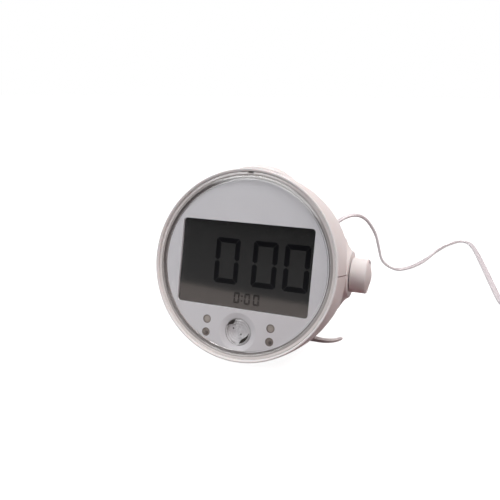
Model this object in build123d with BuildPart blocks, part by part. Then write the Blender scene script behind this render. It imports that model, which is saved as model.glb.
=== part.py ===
"""A bed shaker alarm clock: a round case whose face leans back on a slender stand, with its
display, flash, selector knob and snooze button, and the vibrating puck on its flat lead."""

import math
import os

from build123d import *

# Stance: the face leans back, its centre a rim's radius and a little more above the table
TILT = 15
FACE_CLEAR = 2.7

# Case, a body of revolution about the face axis, in two halves that meet at the seam
RIM_R = 52.3
RIM_W = 1.4
RIM_EDGE = 0.4
RIM_SLOPE = 0.7
BELLY_PROUD = 0.7
BELLY_D = 14.0
SHOULDER_INSET = 0.7
SHOULDER_D = 35.0
REAR_INSET = 14.8
BODY_DEPTH = 66.0
REAR_EDGE = 3.0
WALL = 2.2
FLOOR_T = 2.2
SEAM_GROOVE_W = 0.3
SEAM_GROOVE_T = 0.4

# Front: clear cover with a raised window over the fascia, both on a seat inside the rim
COVER_GAP = 0.35
COVER_T = 1.4
COVER_EDGE = 0.3
RAISED_D = 0.1
RAISED_INSET = 3.4
RAISED_STEP = 1.1
RAISED_EDGE = 1.0
NOTCH_W = 3.0
NOTCH_T = 0.9
FASCIA_D = 3.2
FASCIA_T = 1.4
SEAT_T = 2.0
SEAT_W = 2.9

# Display window, its glass and what lies behind it
WINDOW_SIDE = 14.25
WINDOW_SQUAT = 29.0
WINDOW_V = -0.35
WINDOW_CORNER = 2.0
GLASS_MARGIN = 0.8
GLASS_T = 2.2
FRAME_WALL = 0.9
FIT = 0.05
BACKLIGHT_T = 3.0
STRIP_W = 1.4
DISPLAY_GAP = 6.8
BOARD_T = 1.6
DISPLAY_BOARD_INSET = 2.5
DISPLAY_BOARD_CUT = 4.0
DISPLAY_POST_R = 2.5
DISPLAY_POST_SIDE = 28.3
DISPLAY_POST_INSET = 22.8
LOWER_POST_SIDE = 23.3
LOWER_POST_INSET = 22.3
SCREW_R = 1.0
SCREW_HEAD_R = 2.0
SCREW_HEAD_T = 1.4
SCREW_L = 5.0

# Flash and indicator windows
FLASH_INSET = 15.8
FLASH_R = 7.3
FLASH_DISH_R = 10.6
FLASH_DISH_T = 0.9
FLASH_GAP = 0.3
FLASH_LIP_T = 1.6
FLASH_TAIL_R = 3.2
HOLDER_WALL = 0.9
LED_R = 2.5
LED_T = 1.2
PIPE_R = 2.1
PIPE_GAP = 0.1
PIPE_U = 18.6
PIPE_RISE = 4.75
PIPE_DROP = 2.45

# Snooze button, a spherical dome of oval outline that slides towards the face axis
SNOOZE_D = 19.0
SNOOZE_A = 19.3
SNOOZE_B = 11.9
SNOOZE_PROUD = 3.6
SNOOZE_DOME_R = 28.5
SNOOZE_WALL = 1.8
SNOOZE_GAP = 0.35
SNOOZE_DEPTH = 12.3
SNOOZE_EAR_T = 1.6
SNOOZE_EAR_W = 1.6
SNOOZE_EAR_L = 14.0
SNOOZE_STEM_R = 2.5
SNOOZE_TRAVEL = 1.6
SNOOZE_BOARD_DEPTH = 21.6
SNOOZE_BOARD_L = 56.0
SNOOZE_BOARD_W = 12.0
SNOOZE_POST_U = 24.5
SNOOZE_POST_R = 3.0
TACT_W = 6.2
TACT_T = 3.5
TACT_PLUNGER_R = 1.7
TACT_PLUNGER_T = 2.7

# Selector knob on the right side, on the seam, with a push button in its end
KNOB_D = 32.0
KNOB_R = 9.7
KNOB_L = 8.8
KNOB_EDGE = 0.6
KNOB_GAP = 0.5
KNOB_WALL = 1.35
KNOB_HUB_R = 4.6
BOSS_R = 13.0
BOSS_PROUD = 2.0
BOSS_EDGE = 0.9
BOSS_FLARE_W = 7.0
BOSS_FLARE_L = 5.6
BOSS_HOLLOW_W = 1.4
BOSS_HOLLOW_L = 3.0
BOSS_ROOT_L = 9.0
CAP_R = 8.0
CAP_GAP = 0.35
CAP_RIM_T = 0.8
CAP_DOME = 1.7
CAP_SINK = 0.4
CAP_TRAVEL = 1.2
CAP_STOP_GAP = 0.1
CAP_STEM_R = 1.6
CAP_STEM_L = 2.5
SHAFT_R = 3.0
SHAFT_INSERT = 3.9
BUSH_R = 3.5
SWITCH_W = 13.0
SWITCH_L = 8.0
BUSH_L = 6.1

# Case screws run up through the lower half into the upper half
CASE_POST_R = 4.0
FRONT_POST_SIDE = 19.3
FRONT_POST_D = 26.0
REAR_POST_SIDE = 18.3
REAR_POST_D = 46.0
CASE_SCREW_R = 1.5
CASE_SCREW_L = 22.0
CASE_HEAD_R = 2.8
CASE_HEAD_T = 2.0
CASE_HEAD_V = -11.0
SCREW_CLEAR = 0.2

# Rear panel with its sockets, thumbwheels and coin cell door
PANEL_LIP = 4.0
PANEL_GAP = 0.3
PANEL_FLANGE = 1.2
PANEL_FLANGE_T = 2.0
RIB_COUNT = 4
RIB_ANGLE = 75
RIB_T = 1.6
RIB_W = 3.0
RIB_L = 7.0
BOARD_SIDE = 3.5
BOARD_END = 5.0
BOARD_V = 2.0
BOARD_GAP = 10.2
BOARD_POST_R = 2.5
BOARD_POST_SIDE = 8.7
BOARD_POST_INSET = 11.2
BOARD_POST_DROP = 13.2
SOCKET_U = 16.0
SOCKET_V = 8.0
INLET_BODY = 10.0
INLET_R = 4.0
INLET_HOLE_R = 2.8
INLET_PIN_R = 1.0
INLET_DEPTH = 9.0
JACK_BODY = 10.0
JACK_R = 3.2
PLUG_PIN_R = 1.75
PLUG_PIN_L = 12.5
JACK_DEPTH = 13.5
SOCKET_GAP = 0.2
WHEEL_R = 7.5
WHEEL_T = 3.0
WHEEL_U = 9.5
WHEEL_INSET = 9.2
WHEEL_PROUD = 2.0
WHEEL_GAP = 0.4
WHEEL_NOTCHES = 20
WHEEL_NOTCH_R = 0.55
POT_W = 9.0
POT_T = 5.0
POT_SHAFT_R = 1.5
COIN_INSET = 20.2
COIN_DOOR_R = 12.5
COIN_DOOR_T = 2.4
COIN_GAP = 0.2
COIN_LUG_R = 14.0
COIN_LUG_T = 1.6
COIN_SLOT_L = 12.0
COIN_SLOT_W = 1.8
COIN_SLOT_T = 1.1
CELL_R = 10.0
CELL_T = 3.2
CELL_HOLDER_WALL = 1.3

# Speaker on the floor of the case, over the sound slots
SPEAKER_Y = 26.0
SPEAKER_R = 14.0
SPEAKER_T = 5.5
SPEAKER_MAGNET_R = 8.0
SPEAKER_RING_T = 1.4
SPEAKER_RING_H = 3.5
SPEAKER_RIM = 1.6
CONE_T = 0.6
SOUND_SLOT_W = 1.6
SOUND_SLOT_PITCH = 2.9
SOUND_SLOT_U = 7.0
SOUND_SLOTS = 3

# Stand: a stem under the case and a slender bow whose swept tips stand out at both sides
STAND_T = 3.0
STEM_W = 10.0
STEM_FRONT = -5.0
STEM_INSET = 13.0
BOW_Y = 35.3
BOW_ROOT = 8.0
BOW_DEPTH = 3.3
BOW_STRAIGHT = 36.0
BOW_TIP_X = 48.0
BOW_TIP_Y = 44.2
BOW_TIP_W = 2.2
BOW_TAPER_X = 25.5
BOW_SIDE_X = 33.0
BOW_SIDE_T = 1.9
BOW_TIP_T = 1.1
STAND_SCREW_FRONT = 5.5
STAND_SCREW_INSET = 6.0
STAND_SCREW_R = 1.4
STAND_HEAD_R = 2.6
STAND_SINK_ANGLE = 90
STAND_SCREW_L = 9.0
STAND_POST_R = 3.2
STAND_POST_H = 7.0
PAD_R = 1.8
PAD_T = 1.0
PAD_X = 24.0
PAD_Y = 38.0
PAD_FRONT = -2.8

# Lead of the bed shaker: an elbow plug, a free stretch, a coil and a short tail
LEAD_D = 3.0
PLUG_R = 4.6
PLUG_L = 8.5
PLUG_EDGE = 1.5
PLUG_ELBOW = 4.2
PLUG_ANGLE = 50
PLUG_BOOT_L = 15.0
PLUG_BOOT_R = 3.4
BOOT_TIP_R = 2.3
LEAD_REST = LEAD_D / 2
LEAD_ROUTE = [
    (32.4, 75.0, 63.4),
    (41.5, 85.0, 68.5),
    (48.5, 100.0, 65.5),
    (52.0, 115.0, 54.5),
    (53.6, 131.0, 41.0),
    (54.2, 150.0, 26.0),
    (55.5, 168.0, 11.0),
    (58.2, 182.0, 3.0),
    (64.0, 193.0, LEAD_REST),
    (73.0, 200.5, LEAD_REST),
    (80.5, 217.0, LEAD_REST),
    (89.5, 246.0, LEAD_REST),
    (98.5, 278.0, LEAD_REST),
    (104.0, 298.0, LEAD_REST),
    (114.5, 302.0, LEAD_REST),
    (124.0, 296.0, LEAD_REST),
    (126.0, 274.5, LEAD_REST),
    (129.3, 237.0, LEAD_REST),
    (133.3, 197.0, LEAD_REST),
    (136.8, 165.0, LEAD_REST),
    (139.9, 140.0, LEAD_REST),
    (144.6, 126.0, 1.9),
]
ROUTE_SHARE = 0.45

# Coil of the length that is put away, wound inwards, up one layer and outwards
COIL_X = 184.0
COIL_Y = 108.0
COIL_Z = 2.4
COIL_R = 36.5
COIL_STEP = 2.65
COIL_RISE = 3.8
COIL_HALF_TURNS = 9
COIL_LEAD_IN = 6.0
COIL_EXIT = 30
COIL_TAIL = 24.0
GAP_SPACING = 4.0
GAP_NEAR = 12.0
TIE_ANGLE = 20
TIE_W = 9.0
TIE_T = 0.7
TIE_GAP = 0.2

# Bed shaker: a puck with a motor and an eccentric weight
SHAKER_R = 38.0
SHAKER_H = 25.0
SHAKER_SPLIT = 12.5
SHAKER_WALL = 2.0
SHAKER_TOP_EDGE = 6.0
SHAKER_BASE_EDGE = 2.5
SHAKER_BOOT_L = 10.0
SHAKER_BOOT_R = 3.0
SHAKER_BOOT_FLANGE_R = 4.0
SHAKER_BOOT_FLANGE_T = 1.5
MOTOR_R = 8.0
MOTOR_L = 24.0
MOTOR_X = -8.0
MOTOR_SHAFT_R = 1.2
MOTOR_SHAFT_L = 11.0
CRADLE_T = 2.4
CRADLE_W = 22.0
WEIGHT_R = 8.5
WEIGHT_L = 8.0
WEIGHT_GAP = 1.5
SHAKER_POST_R = 3.0
SHAKER_POST_RING = 30.0
SHAKER_POSTS = 3
SHAKER_POST_ANGLE = 60
SHAKER_SCREW_R = 1.3
SHAKER_SCREW_L = 12.0
SHAKER_HEAD_R = 2.6
SHAKER_HEAD_T = 1.8

# Derived sizes
COS = math.cos(math.radians(TILT))
SIN = math.sin(math.radians(TILT))
FACE_HEIGHT = RIM_R + FACE_CLEAR
BELLY_R = RIM_R + BELLY_PROUD
SHOULDER_R = RIM_R - SHOULDER_INSET
REAR_R = RIM_R - REAR_INSET
BORE_R = RIM_R - RIM_W
COVER_R = BORE_R - COVER_GAP
SEAT_R = BORE_R - SEAT_W
DISPLAY_BOARD_R = SEAT_R - DISPLAY_BOARD_INSET
RAISED_R = COVER_R - RAISED_INSET
FLANGE_D = RAISED_D + RAISED_STEP
SNOOZE_TOP = BELLY_R + SNOOZE_PROUD
SNOOZE_SKIRT = SNOOZE_TOP - SNOOZE_DEPTH
SNOOZE_BOARD_V = SNOOZE_TOP - SNOOZE_BOARD_DEPTH
BOSS_U = SHOULDER_R + BOSS_PROUD
SWITCH_U = BOSS_U - BUSH_L
SEAT_D = FASCIA_D + FASCIA_T
WINDOW_W = 2 * (RIM_R - WINDOW_SIDE)
WINDOW_H = WINDOW_W - WINDOW_SQUAT
GLASS_W = WINDOW_W + 2 * GLASS_MARGIN
GLASS_H = WINDOW_H + 2 * GLASS_MARGIN
GLASS_D = SEAT_D + GLASS_T
DISPLAY_D = SEAT_D + DISPLAY_GAP
DISPLAY_POST_U = RIM_R - DISPLAY_POST_SIDE
DISPLAY_POST_V = RIM_R - DISPLAY_POST_INSET
DISPLAY_BOARD_TOP = DISPLAY_POST_V + DISPLAY_BOARD_CUT
LOWER_POST_U = RIM_R - LOWER_POST_SIDE
LOWER_POST_V = LOWER_POST_INSET - RIM_R
FLASH_V = FLASH_INSET - RIM_R
PIPE_UPPER_V = FLASH_V + PIPE_RISE
PIPE_LOWER_V = FLASH_V - PIPE_DROP
FRONT_POST_U = RIM_R - FRONT_POST_SIDE
REAR_POST_U = RIM_R - REAR_POST_SIDE
STEM_REAR = BODY_DEPTH - STEM_INSET
STAND_SCREW_REAR = STEM_REAR - STAND_SCREW_INSET
FLOOR_Z = STAND_T + FLOOR_T
CASE_FRONT = SEAT_D + SEAT_T
PANEL_IN = BODY_DEPTH - WALL
PANEL_BACK = PANEL_IN - PANEL_FLANGE_T
PANEL_R = REAR_R - PANEL_LIP - PANEL_GAP
BOARD_D = PANEL_BACK - BOARD_GAP
BOARD_POST_U = PANEL_R - BOARD_POST_SIDE
BOARD_POST_TOP = PANEL_R - BOARD_POST_INSET
BOARD_POST_BOTTOM = BOARD_POST_DROP - PANEL_R
BOARD_W = 2 * (BOARD_POST_U + BOARD_SIDE)
BOARD_H = BOARD_POST_TOP - BOARD_POST_BOTTOM + 2 * BOARD_END
WHEEL_V = PANEL_R - WHEEL_INSET
COIN_V = COIN_INSET - PANEL_R
WHEEL_D = BODY_DEPTH + WHEEL_PROUD - WHEEL_R
KNOB_U = BOSS_U + KNOB_GAP
KNOB_END_U = KNOB_U + KNOB_L
CAP_FLOOR_U = KNOB_END_U - CAP_RIM_T - CAP_TRAVEL - CAP_STOP_GAP
SHAFT_END_U = KNOB_U + SHAFT_INSERT
CASE_POSTS = [
    (side * across, depth)
    for across, depth in ((FRONT_POST_U, FRONT_POST_D), (REAR_POST_U, REAR_POST_D))
    for side in (-1, 1)
]
DISPLAY_POSTS = [
    (side * across, up)
    for across, up in ((DISPLAY_POST_U, DISPLAY_POST_V), (LOWER_POST_U, LOWER_POST_V))
    for side in (-1, 1)
]
BOARD_POSTS = [
    (side * BOARD_POST_U, up)
    for up in (BOARD_POST_TOP, BOARD_POST_BOTTOM)
    for side in (-1, 1)
]
PIPES = [(side * PIPE_U, up) for up in (PIPE_UPPER_V, PIPE_LOWER_V) for side in (-1, 1)]
WHEELS = {"volume_wheel": -WHEEL_U, "tone_wheel": WHEEL_U}
STAND_SCREWS = [(0, STAND_SCREW_FRONT), (0, STAND_SCREW_REAR)]
PADS = [(-PAD_X, PAD_Y), (PAD_X, PAD_Y), (0, PAD_FRONT), (0, PAD_Y)]
UPWARD = (Align.CENTER, Align.CENTER, Align.MIN)

# Planes: the face looks forward, a profile has radius and front, the seam has depth and up
FACE = Plane(origin=(0, 0, FACE_HEIGHT), x_dir=(1, 0, 0), z_dir=(0, -COS, SIN))
FACE_AXIS = Axis(FACE.origin, FACE.z_dir)
PROFILE = Plane(origin=FACE.origin, x_dir=(-1, 0, 0), z_dir=FACE.y_dir)
SEAM = Plane(origin=FACE.origin, x_dir=(1, 0, 0), z_dir=FACE.y_dir)
KNOB = Plane(origin=SEAM.from_local_coords((0, KNOB_D, 0)), x_dir=(1, 0, 0), z_dir=FACE.z_dir)
KNOB_AXIS = Axis(KNOB.origin, (1, 0, 0))
TABLE = Plane.XY

os.makedirs("parts", exist_ok=True)


def face(depth):
    """Plane parallel to the face, a depth behind the front rim."""
    return FACE.offset(-depth)


def across(reach):
    """Plane square to the knob's axis, a reach from the middle of the clock."""
    return Plane(origin=KNOB.from_local_coords((reach, 0, 0)), x_dir=FACE.y_dir, z_dir=(1, 0, 0))


def write(part, name):
    """Label a finished piece and write its file."""
    part.label = name
    export_step(part, f"parts/{name}.step")


def body_of_revolution(inset, floor):
    """Solid inside the case's outer line, drawn in by an inset and cut flat at a floor."""
    with BuildPart() as body:
        with BuildSketch(PROFILE) as section:
            with BuildLine():
                belly = ThreePointArc(
                    (RIM_R - inset, 0),
                    (BELLY_R - inset, -BELLY_D),
                    (SHOULDER_R - inset, -SHOULDER_D),
                )
                rear_corner = (REAR_R - inset, inset - BODY_DEPTH)
                TangentArc(belly @ 1, rear_corner, tangent=belly % 1)
                Polyline(rear_corner, (0, inset - BODY_DEPTH), (0, 0), belly @ 0)
            make_face()
            corner = section.vertices().group_by(Axis.Y)[0].sort_by(Axis.X)[-1]
            fillet(corner, REAR_EDGE - inset)
        revolve(axis=FACE_AXIS)
        split(bisect_by=TABLE.offset(floor), keep=Keep.TOP)
    return body.part


# Case: shell, knob boss, posts and ribs, then the openings, then the two halves
with BuildPart() as cavity:
    add(body_of_revolution(WALL, FLOOR_Z))
    split(bisect_by=face(CASE_FRONT), keep=Keep.BOTTOM)

with BuildPart() as posts:
    with BuildSketch(SEAM):
        with Locations(*CASE_POSTS):
            Circle(CASE_POST_R)
    extrude(amount=BELLY_R, both=True)
    with BuildSketch(SEAM.offset(SNOOZE_BOARD_V)):
        with Locations((-SNOOZE_POST_U, SNOOZE_D), (SNOOZE_POST_U, SNOOZE_D)):
            Circle(SNOOZE_POST_R)
    extrude(amount=BELLY_R - SNOOZE_BOARD_V)
    with BuildSketch(face(PANEL_BACK)):
        with PolarLocations(PANEL_R + RIB_L / 2, RIB_COUNT, start_angle=RIB_ANGLE):
            Rectangle(RIB_L, RIB_W)
    extrude(amount=RIB_T)
    add(body_of_revolution(WALL / 2, FLOOR_Z - FLOOR_T / 2), mode=Mode.INTERSECT)

with BuildPart() as seam_core:
    add(body_of_revolution(SEAM_GROOVE_T, STAND_T))
    split(bisect_by=face(SEAM_GROOVE_T), keep=Keep.BOTTOM)

with BuildPart() as seam_groove:
    with BuildSketch(SEAM):
        with Locations((0, BODY_DEPTH / 2)):
            Rectangle(2 * BOSS_U, BODY_DEPTH)
    extrude(amount=SEAM_GROOVE_W)
    add(seam_core.part, mode=Mode.SUBTRACT)

with BuildPart() as case:
    add(body_of_revolution(0, STAND_T))
    with BuildSketch(KNOB) as boss_section:
        with BuildLine():
            flare = Bezier(
                (BOSS_U, BOSS_R),
                (BOSS_U - BOSS_HOLLOW_L, BOSS_R + BOSS_HOLLOW_W),
                (BOSS_U - BOSS_FLARE_L, BOSS_R + BOSS_FLARE_W),
            )
            Polyline(
                flare @ 0,
                (BOSS_U, 0),
                (BOSS_U - BOSS_ROOT_L, 0),
                (BOSS_U - BOSS_ROOT_L, BOSS_R + BOSS_FLARE_W),
                flare @ 1,
            )
        make_face()
        fillet(boss_section.vertices().group_by(Axis.X)[-1].sort_by(Axis.Y)[-1], BOSS_EDGE)
    revolve(axis=KNOB_AXIS)
    add(cavity.part, mode=Mode.SUBTRACT)
    add(posts.part)
    with BuildSketch(FACE):
        Circle(BORE_R)
    extrude(amount=-SEAT_D, mode=Mode.SUBTRACT)
    with BuildSketch(face(SEAT_D)):
        Circle(SEAT_R)
    extrude(amount=-SEAT_T, mode=Mode.SUBTRACT)
    rim_edges = case.edges().filter_by(GeomType.CIRCLE).group_by(FACE_AXIS)[-1].sort_by(SortBy.RADIUS)
    fillet(rim_edges[-1], RIM_EDGE)
    chamfer(rim_edges[0], RIM_SLOPE)
    with BuildSketch(face(BODY_DEPTH)):
        Circle(REAR_R - PANEL_LIP)
    extrude(amount=WALL, mode=Mode.SUBTRACT)
    with BuildSketch(SEAM.offset(SNOOZE_SKIRT)):
        with Locations((0, SNOOZE_D)):
            Ellipse(SNOOZE_A + SNOOZE_GAP, SNOOZE_B + SNOOZE_GAP)
    extrude(amount=BELLY_R - SNOOZE_SKIRT + WALL, mode=Mode.SUBTRACT)
    with BuildSketch(across(SWITCH_U)):
        Circle(BUSH_R + FIT)
    extrude(amount=BOSS_U - SWITCH_U, mode=Mode.SUBTRACT)
    with BuildSketch(SEAM):
        with Locations(*CASE_POSTS):
            Circle(CASE_SCREW_R)
    extrude(amount=CASE_SCREW_L + CASE_HEAD_V, mode=Mode.SUBTRACT)
    with BuildSketch(SEAM):
        with Locations(*CASE_POSTS):
            Circle(CASE_SCREW_R + SCREW_CLEAR)
    extrude(amount=CASE_HEAD_V, mode=Mode.SUBTRACT)
    with BuildSketch(SEAM.offset(CASE_HEAD_V)):
        with Locations(*CASE_POSTS):
            Circle(CASE_HEAD_R + SCREW_CLEAR)
    extrude(amount=-BELLY_R, mode=Mode.SUBTRACT)

with BuildPart() as upper_case:
    add(case.part)
    split(bisect_by=SEAM, keep=Keep.TOP)
    add(seam_groove.part, mode=Mode.SUBTRACT)
    with BuildSketch(SEAM.offset(SNOOZE_BOARD_V)):
        with Locations((-SNOOZE_POST_U, SNOOZE_D), (SNOOZE_POST_U, SNOOZE_D)):
            Circle(SCREW_R)
    extrude(amount=SCREW_L - BOARD_T, mode=Mode.SUBTRACT)
write(upper_case.part, "upper_case")

with BuildPart() as lower_case:
    add(case.part)
    split(bisect_by=SEAM, keep=Keep.BOTTOM)
    with BuildSketch(TABLE.offset(STAND_T + FLOOR_T / 2)):
        with Locations(*STAND_SCREWS):
            Circle(STAND_POST_R)
    extrude(amount=FLOOR_T / 2 + STAND_POST_H)
    with BuildSketch(TABLE.offset(STAND_T + FLOOR_T / 2)):
        with Locations((0, SPEAKER_Y)):
            Circle(SPEAKER_R + FIT + SPEAKER_RING_T)
            Circle(SPEAKER_R + FIT, mode=Mode.SUBTRACT)
    extrude(amount=FLOOR_T / 2 + SPEAKER_RING_H)
    with BuildSketch(TABLE.offset(STAND_T)):
        with Locations(*STAND_SCREWS):
            Circle(STAND_SCREW_R)
    extrude(amount=STAND_SCREW_L - STAND_T, mode=Mode.SUBTRACT)
    with BuildSketch(TABLE.offset(STAND_T)):
        for column in range(SOUND_SLOTS):
            slot_x = SOUND_SLOT_U + column * SOUND_SLOT_PITCH
            slot_reach = math.sqrt((SPEAKER_R - SPEAKER_RIM) ** 2 - (slot_x - SOUND_SLOT_W) ** 2)
            with Locations((-slot_x, SPEAKER_Y), (slot_x, SPEAKER_Y)):
                SlotOverall(2 * slot_reach, SOUND_SLOT_W, rotation=90)
    extrude(amount=FLOOR_T, mode=Mode.SUBTRACT)
write(lower_case.part, "lower_case")

with BuildPart() as case_screws:
    with BuildSketch(SEAM.offset(CASE_HEAD_V)):
        with Locations(*CASE_POSTS):
            Circle(CASE_SCREW_R)
    extrude(amount=CASE_SCREW_L)
    with BuildSketch(SEAM.offset(CASE_HEAD_V)):
        with Locations(*CASE_POSTS):
            Circle(CASE_HEAD_R)
    extrude(amount=-CASE_HEAD_T)
write(case_screws.part, "case_screws")

# Front: clear cover, hollow behind its raised window, and the fascia behind it
with BuildPart() as front_cover:
    with BuildSketch(PROFILE) as cover_section:
        with BuildLine():
            Polyline(
                (0, -RAISED_D),
                (RAISED_R, -RAISED_D),
                (RAISED_R, -FLANGE_D),
                (COVER_R, -FLANGE_D),
                (COVER_R, -FASCIA_D),
                (RAISED_R - COVER_T, -FASCIA_D),
                (RAISED_R - COVER_T, -RAISED_D - COVER_T),
                (0, -RAISED_D - COVER_T),
                close=True,
            )
        make_face()
        fillet(cover_section.vertices().group_by(Axis.Y)[-1].sort_by(Axis.X)[-1], RAISED_EDGE)
        fillet(cover_section.vertices().group_by(Axis.X)[-1].sort_by(Axis.Y)[-1], COVER_EDGE)
    revolve(axis=FACE_AXIS)
    with BuildSketch(face(FLANGE_D)):
        with Locations((0, COVER_R)):
            Rectangle(NOTCH_W, 2 * NOTCH_T)
    extrude(amount=FLANGE_D - FASCIA_D, mode=Mode.SUBTRACT)
write(front_cover.part, "front_cover")

with BuildPart() as front_panel:
    with BuildSketch(face(SEAT_D)):
        Circle(COVER_R)
        with Locations((0, WINDOW_V)):
            RectangleRounded(WINDOW_W, WINDOW_H, WINDOW_CORNER, mode=Mode.SUBTRACT)
        with Locations((0, FLASH_V)):
            Circle(FLASH_R + FLASH_GAP, mode=Mode.SUBTRACT)
        with Locations(*PIPES):
            Circle(PIPE_R + PIPE_GAP, mode=Mode.SUBTRACT)
    extrude(amount=FASCIA_T)
    with BuildSketch(face(FASCIA_D)):
        with Locations((0, FLASH_V)):
            Circle(FLASH_DISH_R)
    with BuildSketch(face(FASCIA_D + FLASH_DISH_T)):
        with Locations((0, FLASH_V)):
            Circle(FLASH_R + FLASH_GAP)
    loft(mode=Mode.SUBTRACT)
    with BuildSketch(face(SEAT_D)):
        with Locations(*DISPLAY_POSTS):
            Circle(DISPLAY_POST_R)
    extrude(amount=-DISPLAY_GAP)
    with BuildSketch(face(DISPLAY_D)):
        with Locations(*DISPLAY_POSTS):
            Circle(SCREW_R)
    extrude(amount=SCREW_L - BOARD_T, mode=Mode.SUBTRACT)
write(front_panel.part, "front_panel")

# Display: glass, frame, backlight, contact strips and board
with BuildPart() as lcd_glass:
    with BuildSketch(face(SEAT_D)):
        with Locations((0, WINDOW_V)):
            Rectangle(GLASS_W, GLASS_H)
    extrude(amount=-GLASS_T)
write(lcd_glass.part, "lcd_glass")

with BuildPart() as lcd_frame:
    with BuildSketch(face(SEAT_D)):
        with Locations((0, WINDOW_V)):
            Rectangle(GLASS_W + 2 * FIT + 2 * FRAME_WALL, GLASS_H + 2 * FIT + 2 * FRAME_WALL)
            Rectangle(GLASS_W + 2 * FIT, GLASS_H + 2 * FIT, mode=Mode.SUBTRACT)
    extrude(amount=-DISPLAY_GAP)
write(lcd_frame.part, "lcd_frame")

with BuildPart() as backlight_plate:
    with BuildSketch(face(GLASS_D)):
        with Locations((0, WINDOW_V)):
            Rectangle(GLASS_W - 2 * FIT, GLASS_H - 2 * STRIP_W - 2 * GLASS_MARGIN)
    extrude(amount=-BACKLIGHT_T)
write(backlight_plate.part, "backlight_plate")

with BuildPart() as contact_strips:
    with BuildSketch(face(GLASS_D)):
        with Locations((0, WINDOW_V)):
            with GridLocations(0, GLASS_H - STRIP_W, 1, 2):
                Rectangle(GLASS_W - 2 * GLASS_MARGIN, STRIP_W)
    extrude(amount=GLASS_D - DISPLAY_D)
write(contact_strips.part, "contact_strips")

with BuildPart() as display_board:
    with BuildSketch(face(DISPLAY_D)):
        Circle(DISPLAY_BOARD_R)
        split(bisect_by=Plane.XZ.offset(-DISPLAY_BOARD_TOP), keep=Keep.TOP)
        with Locations(*DISPLAY_POSTS):
            Circle(SCREW_R + SCREW_CLEAR, mode=Mode.SUBTRACT)
    extrude(amount=-BOARD_T)
write(display_board.part, "display_board")

with BuildPart() as display_screws:
    with BuildSketch(face(DISPLAY_D + BOARD_T)):
        with Locations(*DISPLAY_POSTS):
            Circle(SCREW_R)
    extrude(amount=SCREW_L)
    with BuildSketch(face(DISPLAY_D + BOARD_T)):
        with Locations(*DISPLAY_POSTS):
            Circle(SCREW_HEAD_R)
    extrude(amount=-SCREW_HEAD_T)
write(display_screws.part, "display_screws")

# Flash and indicators
with BuildPart() as flash_lens:
    with BuildSketch(face(FASCIA_D + FLASH_GAP)):
        with Locations((0, FLASH_V)):
            Circle(FLASH_R)
    extrude(amount=-FLASH_LIP_T)
    lens_back = FASCIA_D + FLASH_GAP + FLASH_LIP_T
    with BuildSketch(face(lens_back)):
        with Locations((0, FLASH_V)):
            Circle(FLASH_R - HOLDER_WALL - FIT)
    with BuildSketch(face(DISPLAY_D - LED_T)):
        with Locations((0, FLASH_V)):
            Circle(FLASH_TAIL_R)
    loft()
write(flash_lens.part, "flash_lens")

with BuildPart() as lens_holder:
    with BuildSketch(face(SEAT_D)):
        with Locations((0, FLASH_V)):
            Circle(FLASH_R + FLASH_GAP + HOLDER_WALL)
            Circle(FLASH_R + FIT, mode=Mode.SUBTRACT)
    extrude(amount=-DISPLAY_GAP)
    with BuildSketch(face(lens_back)):
        with Locations((0, FLASH_V)):
            Circle(FLASH_R + FLASH_GAP)
            Circle(FLASH_R - HOLDER_WALL, mode=Mode.SUBTRACT)
    extrude(amount=-HOLDER_WALL)
write(lens_holder.part, "lens_holder")

with BuildPart() as flash_led:
    with BuildSketch(face(DISPLAY_D)):
        with Locations((0, FLASH_V)):
            Circle(LED_R)
    extrude(amount=LED_T)
write(flash_led.part, "flash_led")

with BuildPart() as light_pipes:
    with BuildSketch(face(DISPLAY_D - LED_T)):
        with Locations(*PIPES):
            Circle(PIPE_R)
    extrude(amount=DISPLAY_D - LED_T - FASCIA_D)
write(light_pipes.part, "light_pipes")

with BuildPart() as indicator_leds:
    with BuildSketch(face(DISPLAY_D)):
        with Locations(*PIPES):
            Rectangle(LED_R, PIPE_R)
    extrude(amount=LED_T)
write(indicator_leds.part, "indicator_leds")

# Snooze button with its switch and board
with BuildPart() as snooze_hollow:
    with BuildSketch(SEAM.offset(SNOOZE_SKIRT)):
        with Locations((0, SNOOZE_D)):
            Ellipse(SNOOZE_A - SNOOZE_WALL, SNOOZE_B - SNOOZE_WALL)
    extrude(amount=SNOOZE_TOP - SNOOZE_SKIRT)
    with Locations(SEAM.from_local_coords((0, SNOOZE_D, SNOOZE_TOP - SNOOZE_DOME_R))):
        Sphere(SNOOZE_DOME_R - SNOOZE_WALL, mode=Mode.INTERSECT)

with BuildPart() as snooze_button:
    with BuildSketch(SEAM.offset(SNOOZE_SKIRT)):
        with Locations((0, SNOOZE_D)):
            Ellipse(SNOOZE_A, SNOOZE_B)
    extrude(amount=SNOOZE_TOP - SNOOZE_SKIRT)
    with Locations(SEAM.from_local_coords((0, SNOOZE_D, SNOOZE_TOP - SNOOZE_DOME_R))):
        Sphere(SNOOZE_DOME_R, mode=Mode.INTERSECT)
    add(snooze_hollow.part, mode=Mode.SUBTRACT)
    stem_foot = SNOOZE_BOARD_V + TACT_T + TACT_PLUNGER_T + SNOOZE_TRAVEL + SNOOZE_GAP / 2
    with BuildSketch(SEAM.offset(stem_foot)):
        with Locations((0, SNOOZE_D)):
            Circle(SNOOZE_STEM_R)
    extrude(amount=SNOOZE_TOP - SNOOZE_WALL / 2 - stem_foot)
    with BuildSketch(SEAM.offset(SNOOZE_SKIRT)):
        with Locations((0, SNOOZE_D)):
            Rectangle(2 * (SNOOZE_A + SNOOZE_EAR_W), SNOOZE_EAR_L)
            Rectangle(2 * (SNOOZE_A - SNOOZE_WALL), SNOOZE_EAR_L, mode=Mode.SUBTRACT)
    extrude(amount=SNOOZE_EAR_T)
write(snooze_button.part, "snooze_button")

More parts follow.
